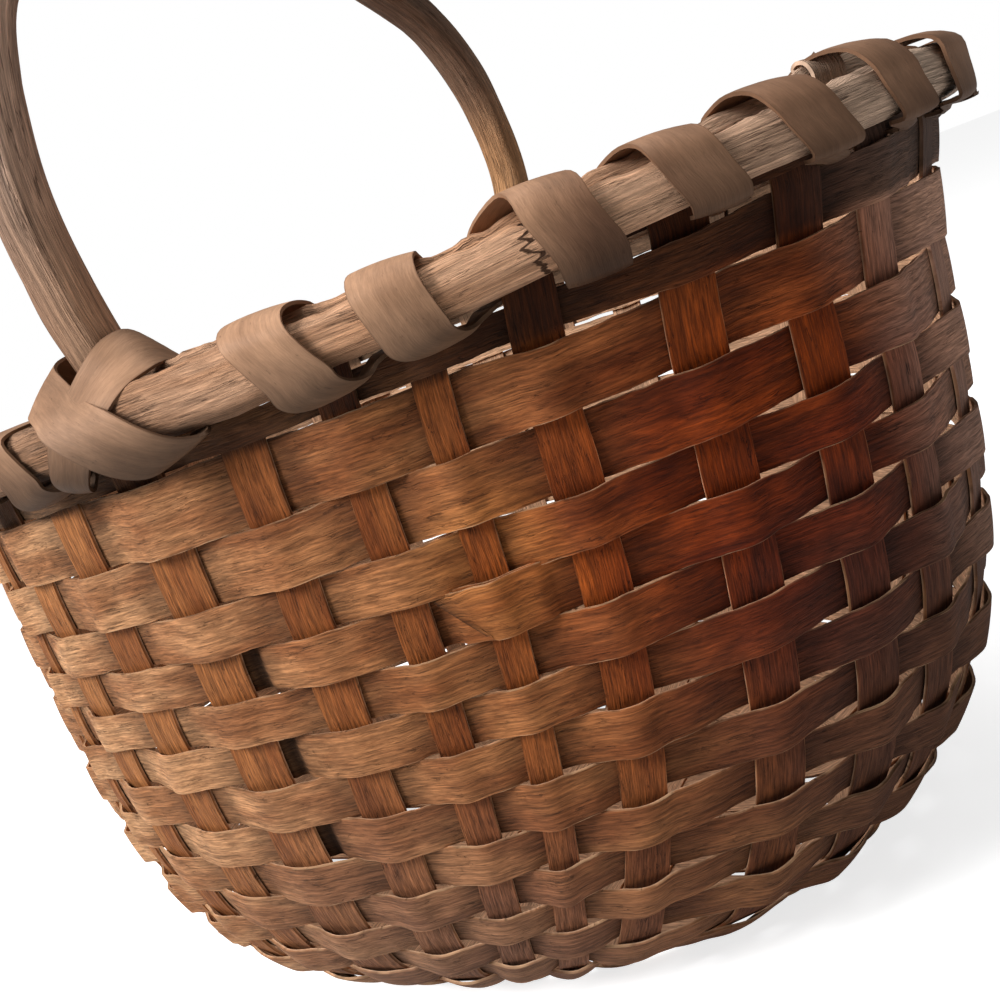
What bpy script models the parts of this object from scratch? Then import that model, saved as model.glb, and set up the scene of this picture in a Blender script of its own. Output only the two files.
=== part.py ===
"""Oval splint gathering basket with a fixed carved bow handle.

Plaited stakes run from rim to rim through the base, closed weaver rows go in and out of them, two rim
hoops clamp the top row, and flat splint lashing binds the hoops and the handle's notched feet.
Metres, +Z up, +X along the long axis, the handle in the plane X = 0. The origin is on the ground, under
the middle of the basket's outline.
"""

import math

import bmesh
import bpy
import numpy as np
from mathutils import Vector

# Wall, measured to the middle of its thickness
RIM_HALF_LENGTH = 0.250
RIM_HALF_WIDTH = 0.166
BODY_DEPTH = 0.2700
FLAT_HALF_LENGTH = 0.0905
FLAT_HALF_WIDTH = 0.066
BASE_LINE = 0.985  # share of the full curve's depth where the base plait takes over
CURVE_DOWN = 4.0
CURVE_IN = 2.6
SIDE_DRAWN_IN = 0.0051  # how far the sides are drawn in at mid depth
END_DRAWN_IN = 0.0015
BASE_SQUARENESS = 2.3  # exponent of the base's rounded rectangle; 2 is an ellipse
RIM_END_FLARE = 0.006
FLARE_DEPTH = 0.045
LEAN_X = 0.070  # sideways lean of the racked body, per unit of depth
LEAN_Y = -0.042

# Splints
STAKE_THICKNESS = 0.0013
WEAVER_THICKNESS = 0.0012
CLEARANCE = 0.00045
STAKE_TOP_BELOW_RIM_TOP = 0.003
STAKE_GAP_IN_BASE = 0.0022

# Short-way stakes, from the left end to the right: angle at the rim, degrees from the near handle foot
SHORT_STAKE_ANGLES = (-40.5, -32.3, -22.2, -10.8, 0.8, 12.3, 21.6, 29.2, 38.3)
SHORT_STAKE_WIDTHS = (0.012, 0.014, 0.024, 0.023, 0.027, 0.020, 0.015, 0.013, 0.018)
# Long-way stakes, from the near side to the far side: angle at the right-hand end of the rim
LONG_STAKE_ANGLES = (51.3, 63.3, 74.2, 90.8, 103.5, 116.0, 128.0)
LONG_STAKE_WIDTHS = (0.020, 0.019, 0.018, 0.024, 0.020, 0.019, 0.018)
MIDDLE_LONG_STAKE_Y = 0.003
STAKE_SWEEP = 3.0  # how late a stake leaves its course down the wall for its place in the base

# Weaver rows, from the rim down, as widths measured down the wall
ROW_GAP = 0.0009
RIM_ROW_WIDTH = 0.0135
FIRST_ROW_WIDTH = 0.0137
BROAD_ROW_WIDTH = 0.0228
BROAD_ROW_COUNT = 2
WALL_ROW_WIDTH = 0.0179
WALL_ROW_COUNT = 7
BOTTOM_ROW_COUNT = 6
BASE_MARGIN = 0.0065
LASHING_SLIT = 0.0034

# Rim hoops
RIM_HEIGHT = 0.0185
HOOP_SHOULDER = 0.72  # share of a hoop's thickness where its rounded edges start
HOOP_EDGE = 0.25  # share of its height that each rounded edge takes
OUTER_HOOP_THICKNESS = 0.012
INNER_HOOP_THICKNESS = 0.009
INNER_HOOP_HEIGHT = 0.0165

# Handle
HANDLE_WIDTH = 0.020
HANDLE_THICKNESS = 0.019
NOTCH_THICKNESS = 0.007
TAIL_THICKNESS = 0.005
TAIL_END_THICKNESS = 0.003
TAIL_WIDTH = 0.016
TAIL_LENGTH = 0.055
TAIL_POINT = 0.012  # length over which the tail's end narrows
NOTCH_BELOW_RIM = 0.0025
NOTCH_ABOVE_RIM = 0.0006
NOTCH_SHOULDER = 0.0045  # height over the rim at which the bow has its full thickness
TAIL_SHOULDER = 0.006
HANDLE_RISE = 0.2025
NEAR_SHOULDER = 0.158
FAR_SHOULDER = 0.179

# Lashing splint
LASHING_THICKNESS = 0.0012
LASHING_WIDTH = 0.023
LASHING_WIDTH_IN_SLIT = 0.009
LASHING_SLACK = 0.0016
LASHING_TUCK = 0.001  # how far a splint turns in under a hoop's edge as it enters a slit
LASHING_CORNER = 0.004  # reach of the bend over a hoop's top edge
SLIT_MARGIN = 0.001  # between a splint in a slit and the upright beside it
CROSS_STRAND_LIFT = 0.0023
CROSS_STRAND_TOP = 0.0215  # from the middle of the handle to where a crossing strand goes over the rim

# Weave rows that bound the flat facets of the wall
FACET_ROWS = (1, 3, 7, 10, 11, 12, 13, 14, 15)

WEAVER_COLOUR = (0.30, 0.155, 0.070, 1.0)
STAKE_COLOUR = (0.26, 0.110, 0.045, 1.0)
HOOP_COLOUR = (0.36, 0.215, 0.105, 1.0)
HANDLE_COLOUR = (0.22, 0.145, 0.090, 1.0)
LASHING_COLOUR = (0.25, 0.150, 0.090, 1.0)


def clear_scene():
    for found in list(bpy.data.objects):
        bpy.data.objects.remove(found, do_unlink=True)


def wood_material(name, colour, roughness):
    made = bpy.data.materials.new(name)
    made.use_nodes = True
    shader = made.node_tree.nodes["Principled BSDF"]
    shader.inputs["Base Color"].default_value = colour
    shader.inputs["Roughness"].default_value = roughness
    shader.inputs["Metallic"].default_value = 0.0
    return made


def smooth_step(value):
    value = min(max(value, 0.0), 1.0)
    return value * value * (3 - 2 * value)


FULL_DEPTH = BODY_DEPTH / BASE_LINE


def half_axes(depth):
    """Half length, half width and squareness of the wall's plan at a depth below the rim's underside."""
    share = min(max(depth / FULL_DEPTH, 0.0), BASE_LINE)
    spread = (1 - share**CURVE_DOWN) ** (1 / CURVE_IN)
    drawn = math.sin(math.pi * share)
    flare = RIM_END_FLARE * max(1 - depth / FLARE_DEPTH, 0.0) ** 2 if depth > 0 else RIM_END_FLARE
    length = FLAT_HALF_LENGTH + (RIM_HALF_LENGTH - FLAT_HALF_LENGTH) * spread - drawn * END_DRAWN_IN
    width = FLAT_HALF_WIDTH + (RIM_HALF_WIDTH - FLAT_HALF_WIDTH) * spread - drawn * SIDE_DRAWN_IN
    squareness = 2 + (BASE_SQUARENESS - 2) * smooth_step((share / BASE_LINE - 0.8) / 0.2)
    return length + flare, width, squareness


def plan_point(depth, angle):
    """A point of the wall's middle surface. The angle runs from the near handle foot towards the right."""
    length, width, squareness = half_axes(depth)
    along = math.sin(angle)
    across = math.cos(angle)
    reach = (abs(along) ** squareness + abs(across) ** squareness) ** (-1 / squareness)
    lean = max(depth, 0.0)
    return Vector((length * along * reach - LEAN_X * lean, LEAN_Y * lean - width * across * reach, -depth))


def run_down_wall():
    """Depths and the lengths of the wall's curve down to them, the mean of its side and its end."""
    depths = np.linspace(0.0, BODY_DEPTH, 1200)
    lengths = [0.0]
    for above, below in zip(depths[:-1], depths[1:]):
        side = (plan_point(below, 0.0) - plan_point(above, 0.0)).length
        end = (plan_point(below, math.pi / 2) - plan_point(above, math.pi / 2)).length
        lengths.append(lengths[-1] + (side + end) / 2)
    return depths, np.array(lengths)


WALL_DEPTHS, WALL_LENGTHS = run_down_wall()


def depth_at(length):
    return float(np.interp(length, WALL_LENGTHS, WALL_DEPTHS))


def row_bounds():
    """Top and bottom of each row below the rim, as lengths down the wall."""
    base_length = WALL_LENGTHS[-1] - BASE_MARGIN
    widths = [FIRST_ROW_WIDTH] + [BROAD_ROW_WIDTH] * BROAD_ROW_COUNT + [WALL_ROW_WIDTH] * WALL_ROW_COUNT
    bounds = []
    start = LASHING_SLIT
    for width in widths:
        bounds.append((start, start + width))
        start += width + ROW_GAP
    bottom_width = (base_length - start) / BOTTOM_ROW_COUNT - ROW_GAP
    for _ in range(BOTTOM_ROW_COUNT):
        bounds.append((start, start + bottom_width))
        start += bottom_width + ROW_GAP
    return bounds


ROW_BOUNDS = row_bounds()
RIM_ROW_BOUNDS = (-(RIM_HEIGHT + RIM_ROW_WIDTH) / 2, -(RIM_HEIGHT - RIM_ROW_WIDTH) / 2)


def facet_depths():
    """Depths at which the wall's flat facets meet, at the gaps between rows."""
    top = RIM_HEIGHT - STAKE_TOP_BELOW_RIM_TOP
    inner = [depth_at(ROW_BOUNDS[row][0] - ROW_GAP / 2) for row in FACET_ROWS if row < len(ROW_BOUNDS)]
    return [-top, 0.0, *inner, BODY_DEPTH]


FACETS = facet_depths()


def wall_normal(depth, angle):
    step = 0.003
    down = plan_point(min(depth + step, BODY_DEPTH), angle) - plan_point(depth - step, angle)
    if depth <= 0:
        down = Vector((0, 0, -1))
    around = plan_point(depth, angle + 0.01) - plan_point(depth, angle - 0.01)
    return down.cross(around).normalized()


def facet_at(depth):
    """The depths of the folds above and below a depth, and how far down between them it lies."""
    place = min(max(depth, FACETS[0]), FACETS[-1])
    row = max(index for index, level in enumerate(FACETS[:-1]) if level <= place)
    return FACETS[row], FACETS[row + 1], (place - FACETS[row]) / (FACETS[row + 1] - FACETS[row])


def fold_point(depth, angle, offset):
    """A point where two facets meet, moved out along the wall's normal by the offset."""
    return plan_point(depth, angle) + wall_normal(depth, angle) * offset


def wall_point(depth, angle, offset):
    """A point on the faceted wall, in line between the folds above and below it."""
    above, below, share = facet_at(depth)
    return fold_point(above, angle, offset).lerp(fold_point(below, angle, offset), share)


def angle_for_width(depth, angle, width):
    """The change of angle that spans a width along the wall's plan."""
    step = 0.002
    speed = (plan_point(depth, angle + step) - plan_point(depth, angle - step)).length / (2 * step)
    return width / speed


def base_places(widths, middle, middle_place):
    """Where parallel stakes cross the base, laid side by side outwards from the middle one."""
    places = {middle: middle_place}
    for index in range(middle + 1, len(widths)):
        places[index] = places[index - 1] + (widths[index - 1] + widths[index]) / 2 + STAKE_GAP_IN_BASE
    for index in range(middle - 1, -1, -1):
        places[index] = places[index + 1] - (widths[index + 1] + widths[index]) / 2 - STAKE_GAP_IN_BASE
    return [places[index] for index in range(len(widths))]


BASE_LENGTH, BASE_WIDTH, BASE_POWER = half_axes(BODY_DEPTH)
SHORT_MIDDLE = len(SHORT_STAKE_WIDTHS) // 2
LONG_MIDDLE = len(LONG_STAKE_WIDTHS) // 2
SHORT_PLACES = base_places(SHORT_STAKE_WIDTHS, SHORT_MIDDLE, 0.0)
LONG_PLACES = [-y for y in base_places(LONG_STAKE_WIDTHS, LONG_MIDDLE, -MIDDLE_LONG_STAKE_Y)]


def other_share(share):
    """The other coordinate of a point on the base's outline, both as shares of its half axes."""
    return (1 - min(abs(share), 0.999) ** BASE_POWER) ** (1 / BASE_POWER)


def base_angle_of_x(x):
    share = x / BASE_LENGTH
    return math.atan2(share, other_share(share))


def base_angle_of_y(towards_near):
    share = towards_near / BASE_WIDTH
    return math.atan2(other_share(share), share)


class Upright:
    """One end of a stake, where it climbs the wall."""

    def __init__(self, rim_angle, base_angle, width):
        self.rim_angle = rim_angle
        self.base_angle = base_angle
        self.width = width

    def angle(self, depth):
        share = min(max(depth / BODY_DEPTH, 0.0), 1.0)
        return self.rim_angle + (self.base_angle - self.rim_angle) * share**STAKE_SWEEP

    def fold_edges(self, depth):
        middle = self.angle(depth)
        half = angle_for_width(depth, middle, self.width / 2)
        return np.array((middle - half, middle + half))

    def edges(self, depth):
        """Angles of the upright's edges, in line between the folds above and below the depth."""
        above, below, share = facet_at(depth)
        return tuple(self.fold_edges(above) * (1 - share) + self.fold_edges(below) * share)


def uprights():
    """Near and far ends of the short-way stakes, right and left ends of the long-way stakes."""
    short_ends = []
    for degrees, width, x in zip(SHORT_STAKE_ANGLES, SHORT_STAKE_WIDTHS, SHORT_PLACES):
        rim = math.radians(degrees)
        base = base_angle_of_x(x)
        short_ends.append((Upright(rim, base, width), Upright(math.pi - rim, math.pi - base, width)))
    long_ends = []
    for degrees, width, y in zip(LONG_STAKE_ANGLES, LONG_STAKE_WIDTHS, LONG_PLACES):
        rim = math.radians(degrees)
        base = base_angle_of_y(y)
        long_ends.append((Upright(rim, base, width), Upright(-rim, -base, width)))
    return short_ends, long_ends


SHORT_ENDS, LONG_ENDS = uprights()


def uprights_in_order():
    everything = [end for pair in SHORT_ENDS + LONG_ENDS for end in pair]
    return sorted(everything, key=lambda end: end.rim_angle % (2 * math.pi))


ORDER = uprights_in_order()


def add_object(name, mesh_builder, material, smooth_angle=None):
    mesh = bpy.data.meshes.new(name)
    shape = bmesh.new()
    mesh_builder(shape)
    bmesh.ops.recalc_face_normals(shape, faces=shape.faces)
    shape.to_mesh(mesh)
    shape.free()
    mesh.materials.append(material)
    if smooth_angle is not None:
        mesh.shade_smooth()
        mesh.set_sharp_from_angle(angle=math.radians(smooth_angle))
    made = bpy.data.objects.new(name, mesh)
    bpy.context.scene.collection.objects.link(made)
    return made


def add_creased_quad(shape, corners):
    """Splits a twisted face along its outer diagonal, so that splints lying together crease alike."""
    a, b, c, d = corners
    one_way = ((a.co + c.co) / 2 - BODY_CENTRE).length
    other_way = ((b.co + d.co) / 2 - BODY_CENTRE).length
    if one_way < other_way:
        a, b, c, d = b, c, d, a
    shape.faces.new((a, b, c))
    shape.faces.new((a, c, d))


def skin_sections(shape, sections, closed):
    """Joins sections of equally many points into a band or a bar, capped at its ends unless closed."""
    loops = [[shape.verts.new(point) for point in section] for section in sections]
    pairs = list(zip(loops[:-1], loops[1:]))
    if closed:
        pairs.append((loops[-1], loops[0]))
    for first, second in pairs:
        count = len(first)
        for index in range(count):
            after = (index + 1) % count
            add_creased_quad(shape, (first[index], first[after], second[after], second[index]))
    if not closed:
        shape.faces.new(loops[0])
        shape.faces.new(list(reversed(loops[-1])))


BODY_CENTRE = Vector((0, 0, -BODY_DEPTH / 2))
WEAVE_OFFSET = (STAKE_THICKNESS + WEAVER_THICKNESS) / 2 + CLEARANCE


def row_sections(top, bottom, row):
    """Sections of one weaver row, flat over each upright and crossing the wall in between."""
    sections = []
    for index, upright in enumerate(ORDER):
        side = 1 if (index + row) % 2 == 1 else -1
        outer = side * WEAVE_OFFSET + WEAVER_THICKNESS / 2
        inner = side * WEAVE_OFFSET - WEAVER_THICKNESS / 2
        for high, low in zip(upright.edges(top), upright.edges(bottom)):
            sections.append(
                (
                    wall_point(top, high, inner),
                    wall_point(top, high, outer),
                    wall_point(bottom, low, outer),
                    wall_point(bottom, low, inner),
                )
            )
    return sections


def add_weavers(material):
    rim_row = row_sections(*RIM_ROW_BOUNDS, -1)
    add_object("weaver_in_rim", lambda shape: skin_sections(shape, rim_row, True), material)
    for row, (top, bottom) in enumerate(ROW_BOUNDS):
        sections = row_sections(depth_at(top), depth_at(bottom), row)
        add_object(f"weaver_row_{row + 1:02d}", lambda shape: skin_sections(shape, sections, True), material)


def stake_section(depth, upright, offset):
    first, second = upright.edges(depth)
    outer = offset + STAKE_THICKNESS / 2
    inner = offset - STAKE_THICKNESS / 2
    return [
        wall_point(depth, first, inner),
        wall_point(depth, first, outer),
        wall_point(depth, second, outer),
        wall_point(depth, second, inner),
    ]


PLAIT_OFFSET = (STAKE_THICKNESS + CLEARANCE) / 2
BASE_SHIFT = Vector((-LEAN_X * BODY_DEPTH, LEAN_Y * BODY_DEPTH, 0))


def base_section(along, middle, width, level, runs_short_way):
    """A section of a stake where it crosses the base, in the order that the near or right end uses."""
    low = -BODY_DEPTH + level - STAKE_THICKNESS / 2
    high = -BODY_DEPTH + level + STAKE_THICKNESS / 2
    near_or_left = middle - width / 2
    far_or_right = middle + width / 2
    if runs_short_way:
        corners = (
            (near_or_left, along, high),
            (near_or_left, along, low),
            (far_or_right, along, low),
            (far_or_right, along, high),
        )
    else:
        corners = (
            (along, near_or_left, high),
            (along, near_or_left, low),
            (along, far_or_right, low),
            (along, far_or_right, high),
        )
    return [Vector(corner) + BASE_SHIFT for corner in corners]


def stake_sections(ends, number, place, width, crossed, runs_short_way):
    """Down one wall, across the base over and under the other stakes, and up the far wall."""
    first_end, second_end = ends
    sections = [stake_section(depth, first_end, 0.0) for depth in FACETS]
    for index, (other_place, other_width) in enumerate(crossed):
        over = (number + index) % 2 == 0
        if not runs_short_way:
            over = not over
        level = PLAIT_OFFSET if over else -PLAIT_OFFSET
        direction = 1 if runs_short_way else -1
        for edge in (-direction * other_width / 2, direction * other_width / 2):
            sections.append(base_section(other_place + edge, place, width, level, runs_short_way))
    for depth in reversed(FACETS):
        inner_left, outer_left, outer_right, inner_right = stake_section(depth, second_end, 0.0)
        sections.append([inner_right, outer_right, outer_left, inner_left])
    return sections


def add_stakes(material):
    across_long = [(-place, width) for place, width in zip(LONG_PLACES, LONG_STAKE_WIDTHS)]
    for number, (ends, place, width) in enumerate(zip(SHORT_ENDS, SHORT_PLACES, SHORT_STAKE_WIDTHS)):
        sections = stake_sections(ends, number, place, width, across_long, True)
        name = f"stake_short_way_{number + 1}"
        add_object(name, lambda shape: skin_sections(shape, sections, False), material)
    across_short = list(zip(SHORT_PLACES, SHORT_STAKE_WIDTHS))
    for number, (ends, place, width) in enumerate(zip(LONG_ENDS, LONG_PLACES, LONG_STAKE_WIDTHS)):
        from_right = list(reversed(across_short))
        last = len(across_short) - 1
        sections = stake_sections(ends, number + last, -place, width, from_right, False)
        name = f"stake_long_way_{number + 1}"
        add_object(name, lambda shape: skin_sections(shape, sections, False), material)


def rim_direction(angle):
    """Level outward direction at the rim."""
    around = plan_point(0.0, angle + 0.01) - plan_point(0.0, angle - 0.01)
    return Vector((around.y, -around.x, 0)).normalized()


WEAVE_HALF = WEAVE_OFFSET + WEAVER_THICKNESS / 2
OUTER_HOOP_INSIDE = WEAVE_HALF + CLEARANCE
INNER_HOOP_OUTSIDE = -(WEAVE_HALF + CLEARANCE)


FOOT_UPRIGHTS = SHORT_ENDS[SHORT_MIDDLE]


def hoop_sections(inside, outside, low, high, rounded_outwards):
    """A bentwood hoop: flat where it meets the wall, rounded on its other side."""
    sections = []
    stations = [(angle, upright) for upright in ORDER for angle in upright.edges(0.0)]
    for angle, upright in stations:
        outward = rim_direction(angle)
        swerves = upright in FOOT_UPRIGHTS and not rounded_outwards
        shift = -(NOTCH_THICKNESS + CLEARANCE) if swerves else 0.0
        flat = inside if rounded_outwards else outside
        bulge = outside if rounded_outwards else inside
        shoulder = flat + (bulge - flat) * HOOP_SHOULDER
        edge = HOOP_EDGE * (high - low)
        outline = (
            (flat, low),
            (flat, high),
            (shoulder, high),
            (bulge, high - edge),
            (bulge, low + edge),
            (shoulder, low),
        )
        middle = plan_point(0.0, angle)
        sections.append([middle + outward * (away + shift) + Vector((0, 0, up)) for away, up in outline])
    return sections


def add_hoops(material):
    outside = OUTER_HOOP_INSIDE + OUTER_HOOP_THICKNESS
    outer = hoop_sections(OUTER_HOOP_INSIDE, outside, 0.0, RIM_HEIGHT, True)
    add_object("outer_rim_hoop", lambda shape: skin_sections(shape, outer, True), material, 50)
    inside = INNER_HOOP_OUTSIDE - INNER_HOOP_THICKNESS
    low = (RIM_HEIGHT - INNER_HOOP_HEIGHT) / 2
    inner = hoop_sections(inside, INNER_HOOP_OUTSIDE, low, low + INNER_HOOP_HEIGHT, False)
    add_object("inner_rim_hoop", lambda shape: skin_sections(shape, inner, True), material, 50)


def smooth_curve(points, steps):
    """A Catmull-Rom curve through the points."""
    padded = [points[0] * 2 - points[1], *points, points[-1] * 2 - points[-2]]
    curve = []
    for before, start, end, after in zip(padded, padded[1:], padded[2:], padded[3:]):
        for step in range(steps):
            t = step / steps
            curve.append(
                0.5
                * (
                    2 * start
                    + (end - before) * t
                    + (2 * before - 5 * start + 4 * end - after) * t * t
                    + (3 * start - before - 3 * end + after) * t * t * t
                )
            )
    curve.append(points[-1])
    return curve


def foot_outside_at(level, side):
    """Distance from the middle to the outer face of a foot or its tail, just inside the weavers."""
    foot = FOOT_UPRIGHTS[0] if side < 0 else FOOT_UPRIGHTS[1]
    depth = max(-level, 0.0)
    wall = wall_point(depth, foot.edges(depth)[0], 0.0)
    return abs(wall.y) - WEAVE_HALF - CLEARANCE


FOOT_OUTSIDE = foot_outside_at(0.0, -1)


def bow_points():
    """Middle line of the bow above the notches, near foot to far foot, as (Y, Z)."""
    foot = FOOT_OUTSIDE - HANDLE_THICKNESS / 2
    seat = RIM_HEIGHT + NOTCH_SHOULDER
    top = HANDLE_RISE
    near = NEAR_SHOULDER
    far = FAR_SHOULDER
    return [
        Vector((0, -foot, seat)),
        Vector((0, -near, 0.27 * top)),
        Vector((0, -near, 0.46 * top)),
        Vector((0, -0.94 * near, 0.65 * top)),
        Vector((0, -0.83 * near, 0.81 * top)),
        Vector((0, -0.62 * near, 0.93 * top)),
        Vector((0, -0.24 * near, top)),
        Vector((0, 0.20 * far, 0.99 * top)),
        Vector((0, 0.55 * far, 0.86 * top)),
        Vector((0, 0.83 * far, 0.72 * top)),
        Vector((0, 0.97 * far, 0.54 * top)),
        Vector((0, far, 0.34 * top)),
        Vector((0, 0.96 * far, 0.20 * top)),
        Vector((0, foot, seat)),
    ]


HANDLE_SIDES = 10
HANDLE_ROUNDNESS = 0.62  # 1 is an ellipse, lower is squarer


def rounded_outline(width, thickness):
    """A carved, squarish oval as (across, through) pairs."""
    outline = []
    for side in range(HANDLE_SIDES):
        turn = 2 * math.pi * (side + 0.5) / HANDLE_SIDES
        across = math.copysign(abs(math.cos(turn)) ** HANDLE_ROUNDNESS, math.cos(turn)) * width / 2
        through = math.copysign(abs(math.sin(turn)) ** HANDLE_ROUNDNESS, math.sin(turn)) * thickness / 2
        outline.append((across, through))
    return outline


def foot_sections(side):
    """Level sections of one foot from its tail's end up to the top of the notch. Side -1 is the near foot."""
    low_end = -TAIL_LENGTH
    steps = (
        (low_end, TAIL_WIDTH * 0.7, TAIL_END_THICKNESS),
        (low_end + TAIL_POINT, TAIL_WIDTH, TAIL_END_THICKNESS),
        (-NOTCH_BELOW_RIM - TAIL_SHOULDER, TAIL_WIDTH, TAIL_THICKNESS),
        (-NOTCH_BELOW_RIM, HANDLE_WIDTH * 0.95, NOTCH_THICKNESS),
        (RIM_HEIGHT + NOTCH_ABOVE_RIM, HANDLE_WIDTH, NOTCH_THICKNESS),
    )
    sections = []
    for level, width, thickness in steps:
        middle = foot_outside_at(level, side) - thickness / 2
        centre = Vector((-LEAN_X * max(-level, 0.0), side * middle, level))
        outline = rounded_outline(width, thickness)
        sections.append([centre + Vector((across, -side * through, 0)) for across, through in outline])
    return sections


def handle_sections():
    curve = smooth_curve(bow_points(), 2)
    outline = rounded_outline(HANDLE_WIDTH, HANDLE_THICKNESS)
    bow = []
    for index, point in enumerate(curve):
        before = curve[max(index - 1, 0)]
        after = curve[min(index + 1, len(curve) - 1)]
        along = (after - before).normalized()
        if index in (0, len(curve) - 1):
            along = Vector((0, 0, 1 if index == 0 else -1))
        inward = along.cross(Vector((1, 0, 0))).normalized()
        bow.append([point + Vector((across, 0, 0)) + inward * through for across, through in outline])
    return foot_sections(-1) + bow + list(reversed(foot_sections(1)))


def add_handle(material):
    sections = handle_sections()
    add_object("bow_handle", lambda shape: skin_sections(shape, sections, False), material, 50)


def swerve_at(angle):
    """How far the inner hoop swerves inwards at an angle, to go round a handle foot."""
    for foot in FOOT_UPRIGHTS:
        index = ORDER.index(foot)
        before = ORDER[index - 1].edges(0.0)[1]
        after = ORDER[(index + 1) % len(ORDER)].edges(0.0)[0]
        first, second = foot.edges(0.0)
        turned = math.remainder(angle - foot.rim_angle, 2 * math.pi)
        start = math.remainder(before - foot.rim_angle, 2 * math.pi)
        stop = math.remainder(after - foot.rim_angle, 2 * math.pi)
        level = (second - first) / 2
        if -level <= turned <= level:
            return NOTCH_THICKNESS + CLEARANCE
        if start < turned < -level:
            return (NOTCH_THICKNESS + CLEARANCE) * (turned - start) / (-level - start)
        if level < turned < stop:
            return (NOTCH_THICKNESS + CLEARANCE) * (stop - turned) / (stop - level)
    return 0.0


END_RADIUS = RIM_HALF_WIDTH**2 / RIM_HALF_LENGTH + INNER_HOOP_OUTSIDE - INNER_HOOP_THICKNESS
SLANTED_WIDTH = 1.1 * LASHING_WIDTH  # chord of the hollow side under a slanting splint
HOLLOW_SAG = SLANTED_WIDTH**2 / (8 * END_RADIUS)  # a flat splint stands off a hollow side by this
LASH_OUT = OUTER_HOOP_INSIDE + OUTER_HOOP_THICKNESS + LASHING_SLACK + LASHING_THICKNESS / 2
LASH_IN = INNER_HOOP_OUTSIDE - INNER_HOOP_THICKNESS - HOLLOW_SAG - LASHING_SLACK - LASHING_THICKNESS / 2
LASH_TOP = RIM_HEIGHT + LASHING_SLACK + LASHING_THICKNESS / 2
LASH_BOTTOM = -LASHING_SLIT / 2
SAME_PLACE = 1.3 * LASHING_WIDTH  # places of a splint closer than this along it count as one


class RibbonPoint:
    """A point of a flat splint's middle line round the hoops.

    Facing is the way its outer face looks, in degrees: 0 is away from the basket and 90 is up.
    """

    def __init__(self, angle, away, up, facing, width):
        outward = rim_direction(angle)
        turned = math.radians(facing)
        self.width = width
        self.place = plan_point(0.0, angle) + outward * away + Vector((0, 0, up))
        self.face = outward * math.cos(turned) + Vector((0, 0, math.sin(turned)))


def ribbon_sections(points):
    """Flat sections square to the splint's run, with the face turned to the hoops."""
    sections = []
    for index, point in enumerate(points):
        before = points[max(index - 1, 0)]
        after = points[min(index + 1, len(points) - 1)]
        along = (after.place - before.place).normalized()
        across = along.cross(point.face).normalized()
        through = across.cross(along).normalized() * (LASHING_THICKNESS / 2)
        across *= point.width / 2
        middle = point.place
        corners = (middle - across - through, middle - across + through)
        sections.append([*corners, middle + across + through, middle + across - through])
    return sections


def lashing_turn(start_angle, stop_angle):
    """One turn: up the inner hoop from one slit, over the rim, and down to the next slit."""
    narrow = LASHING_WIDTH_IN_SLIT
    wide = LASHING_WIDTH
    steps = (
        (0.0, LASH_IN + LASHING_TUCK, LASH_BOTTOM, 225, narrow),
        (0.08, LASH_IN, 0.30 * RIM_HEIGHT, 180, 0.5 * (narrow + wide)),
        (0.33, LASH_IN, LASH_TOP - LASHING_CORNER, 160, wide),
        (0.42, LASH_IN + LASHING_CORNER, LASH_TOP, 110, wide),
        (0.55, LASH_OUT - LASHING_CORNER, LASH_TOP, 70, wide),
        (0.64, LASH_OUT, LASH_TOP - 1.25 * LASHING_CORNER, 20, wide),
        (0.92, LASH_OUT, 0.25 * RIM_HEIGHT, 0, 0.5 * (narrow + wide)),
        (1.0, LASH_OUT - LASHING_TUCK, LASH_BOTTOM, 315, narrow),
    )
    turn = []
    for share, away, up, facing, width in steps:
        angle = start_angle + (stop_angle - start_angle) * share
        inset = swerve_at(angle) if away < 0 else 0.0
        turn.append(RibbonPoint(angle, away - inset, up, facing, width))
    return turn


def beside_upright(upright, side):
    """Where a narrowed splint passes an upright: side 1 is its far edge along the rim, -1 its near edge."""
    edge = upright.edges(0.0)[(side + 1) // 2]
    return edge + side * angle_for_width(0.0, edge, LASHING_WIDTH_IN_SLIT / 2 + SLIT_MARGIN)


def slit_angle(left, right):
    """The middle of the gap between two uprights, or its side away from a handle foot's own strands."""
    if right in FOOT_UPRIGHTS:
        return beside_upright(left, 1)
    if left in FOOT_UPRIGHTS:
        return beside_upright(right, -1)
    before = left.edges(0.0)[1]
    return before + (right.edges(0.0)[0] - before) % (2 * math.pi) / 2


def slit_angles(first, last):
    """The slits from the one before the first upright to the one after the last."""
    count = len(ORDER)
    places = range(first, last + 2)
    angles = [slit_angle(ORDER[(index - 1) % count], ORDER[index % count]) for index in places]
    for index in range(1, len(angles)):
        while angles[index] < angles[index - 1]:
            angles[index] += 2 * math.pi
    return angles


def face_samples(points):
    """Points over both faces of a flat splint, and how far along it each lies."""
    sections = ribbon_sections(points)
    samples = []
    runs = []
    run = 0.0
    for first, second, start, stop in zip(sections, sections[1:], points, points[1:]):
        length = (stop.place - start.place).length
        for share in (0.0, 0.25, 0.5, 0.75):
            near_in, near_out, far_out, far_in = [a.lerp(b, share) for a, b in zip(first, second)]
            for across in (0.0, 0.25, 0.5, 0.75, 1.0):
                samples += [near_in.lerp(far_in, across), near_out.lerp(far_out, across)]
                runs += [run + share * length] * 2
        run += length
    return np.array([list(sample) for sample in samples]), np.array(runs)


def print_least_gap(name, points):
    """The least distance between two places of one splint that aren't next to each other along it."""
    samples, runs = face_samples(points)
    least = math.inf
    for sample, run in zip(samples, runs):
        others = samples[runs > run + SAME_PLACE]
        if len(others):
            least = min(least, float(np.linalg.norm(others - sample, axis=1).min()))
    print(f"{name}: least gap to itself {least * 1000:.1f} mm")


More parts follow.
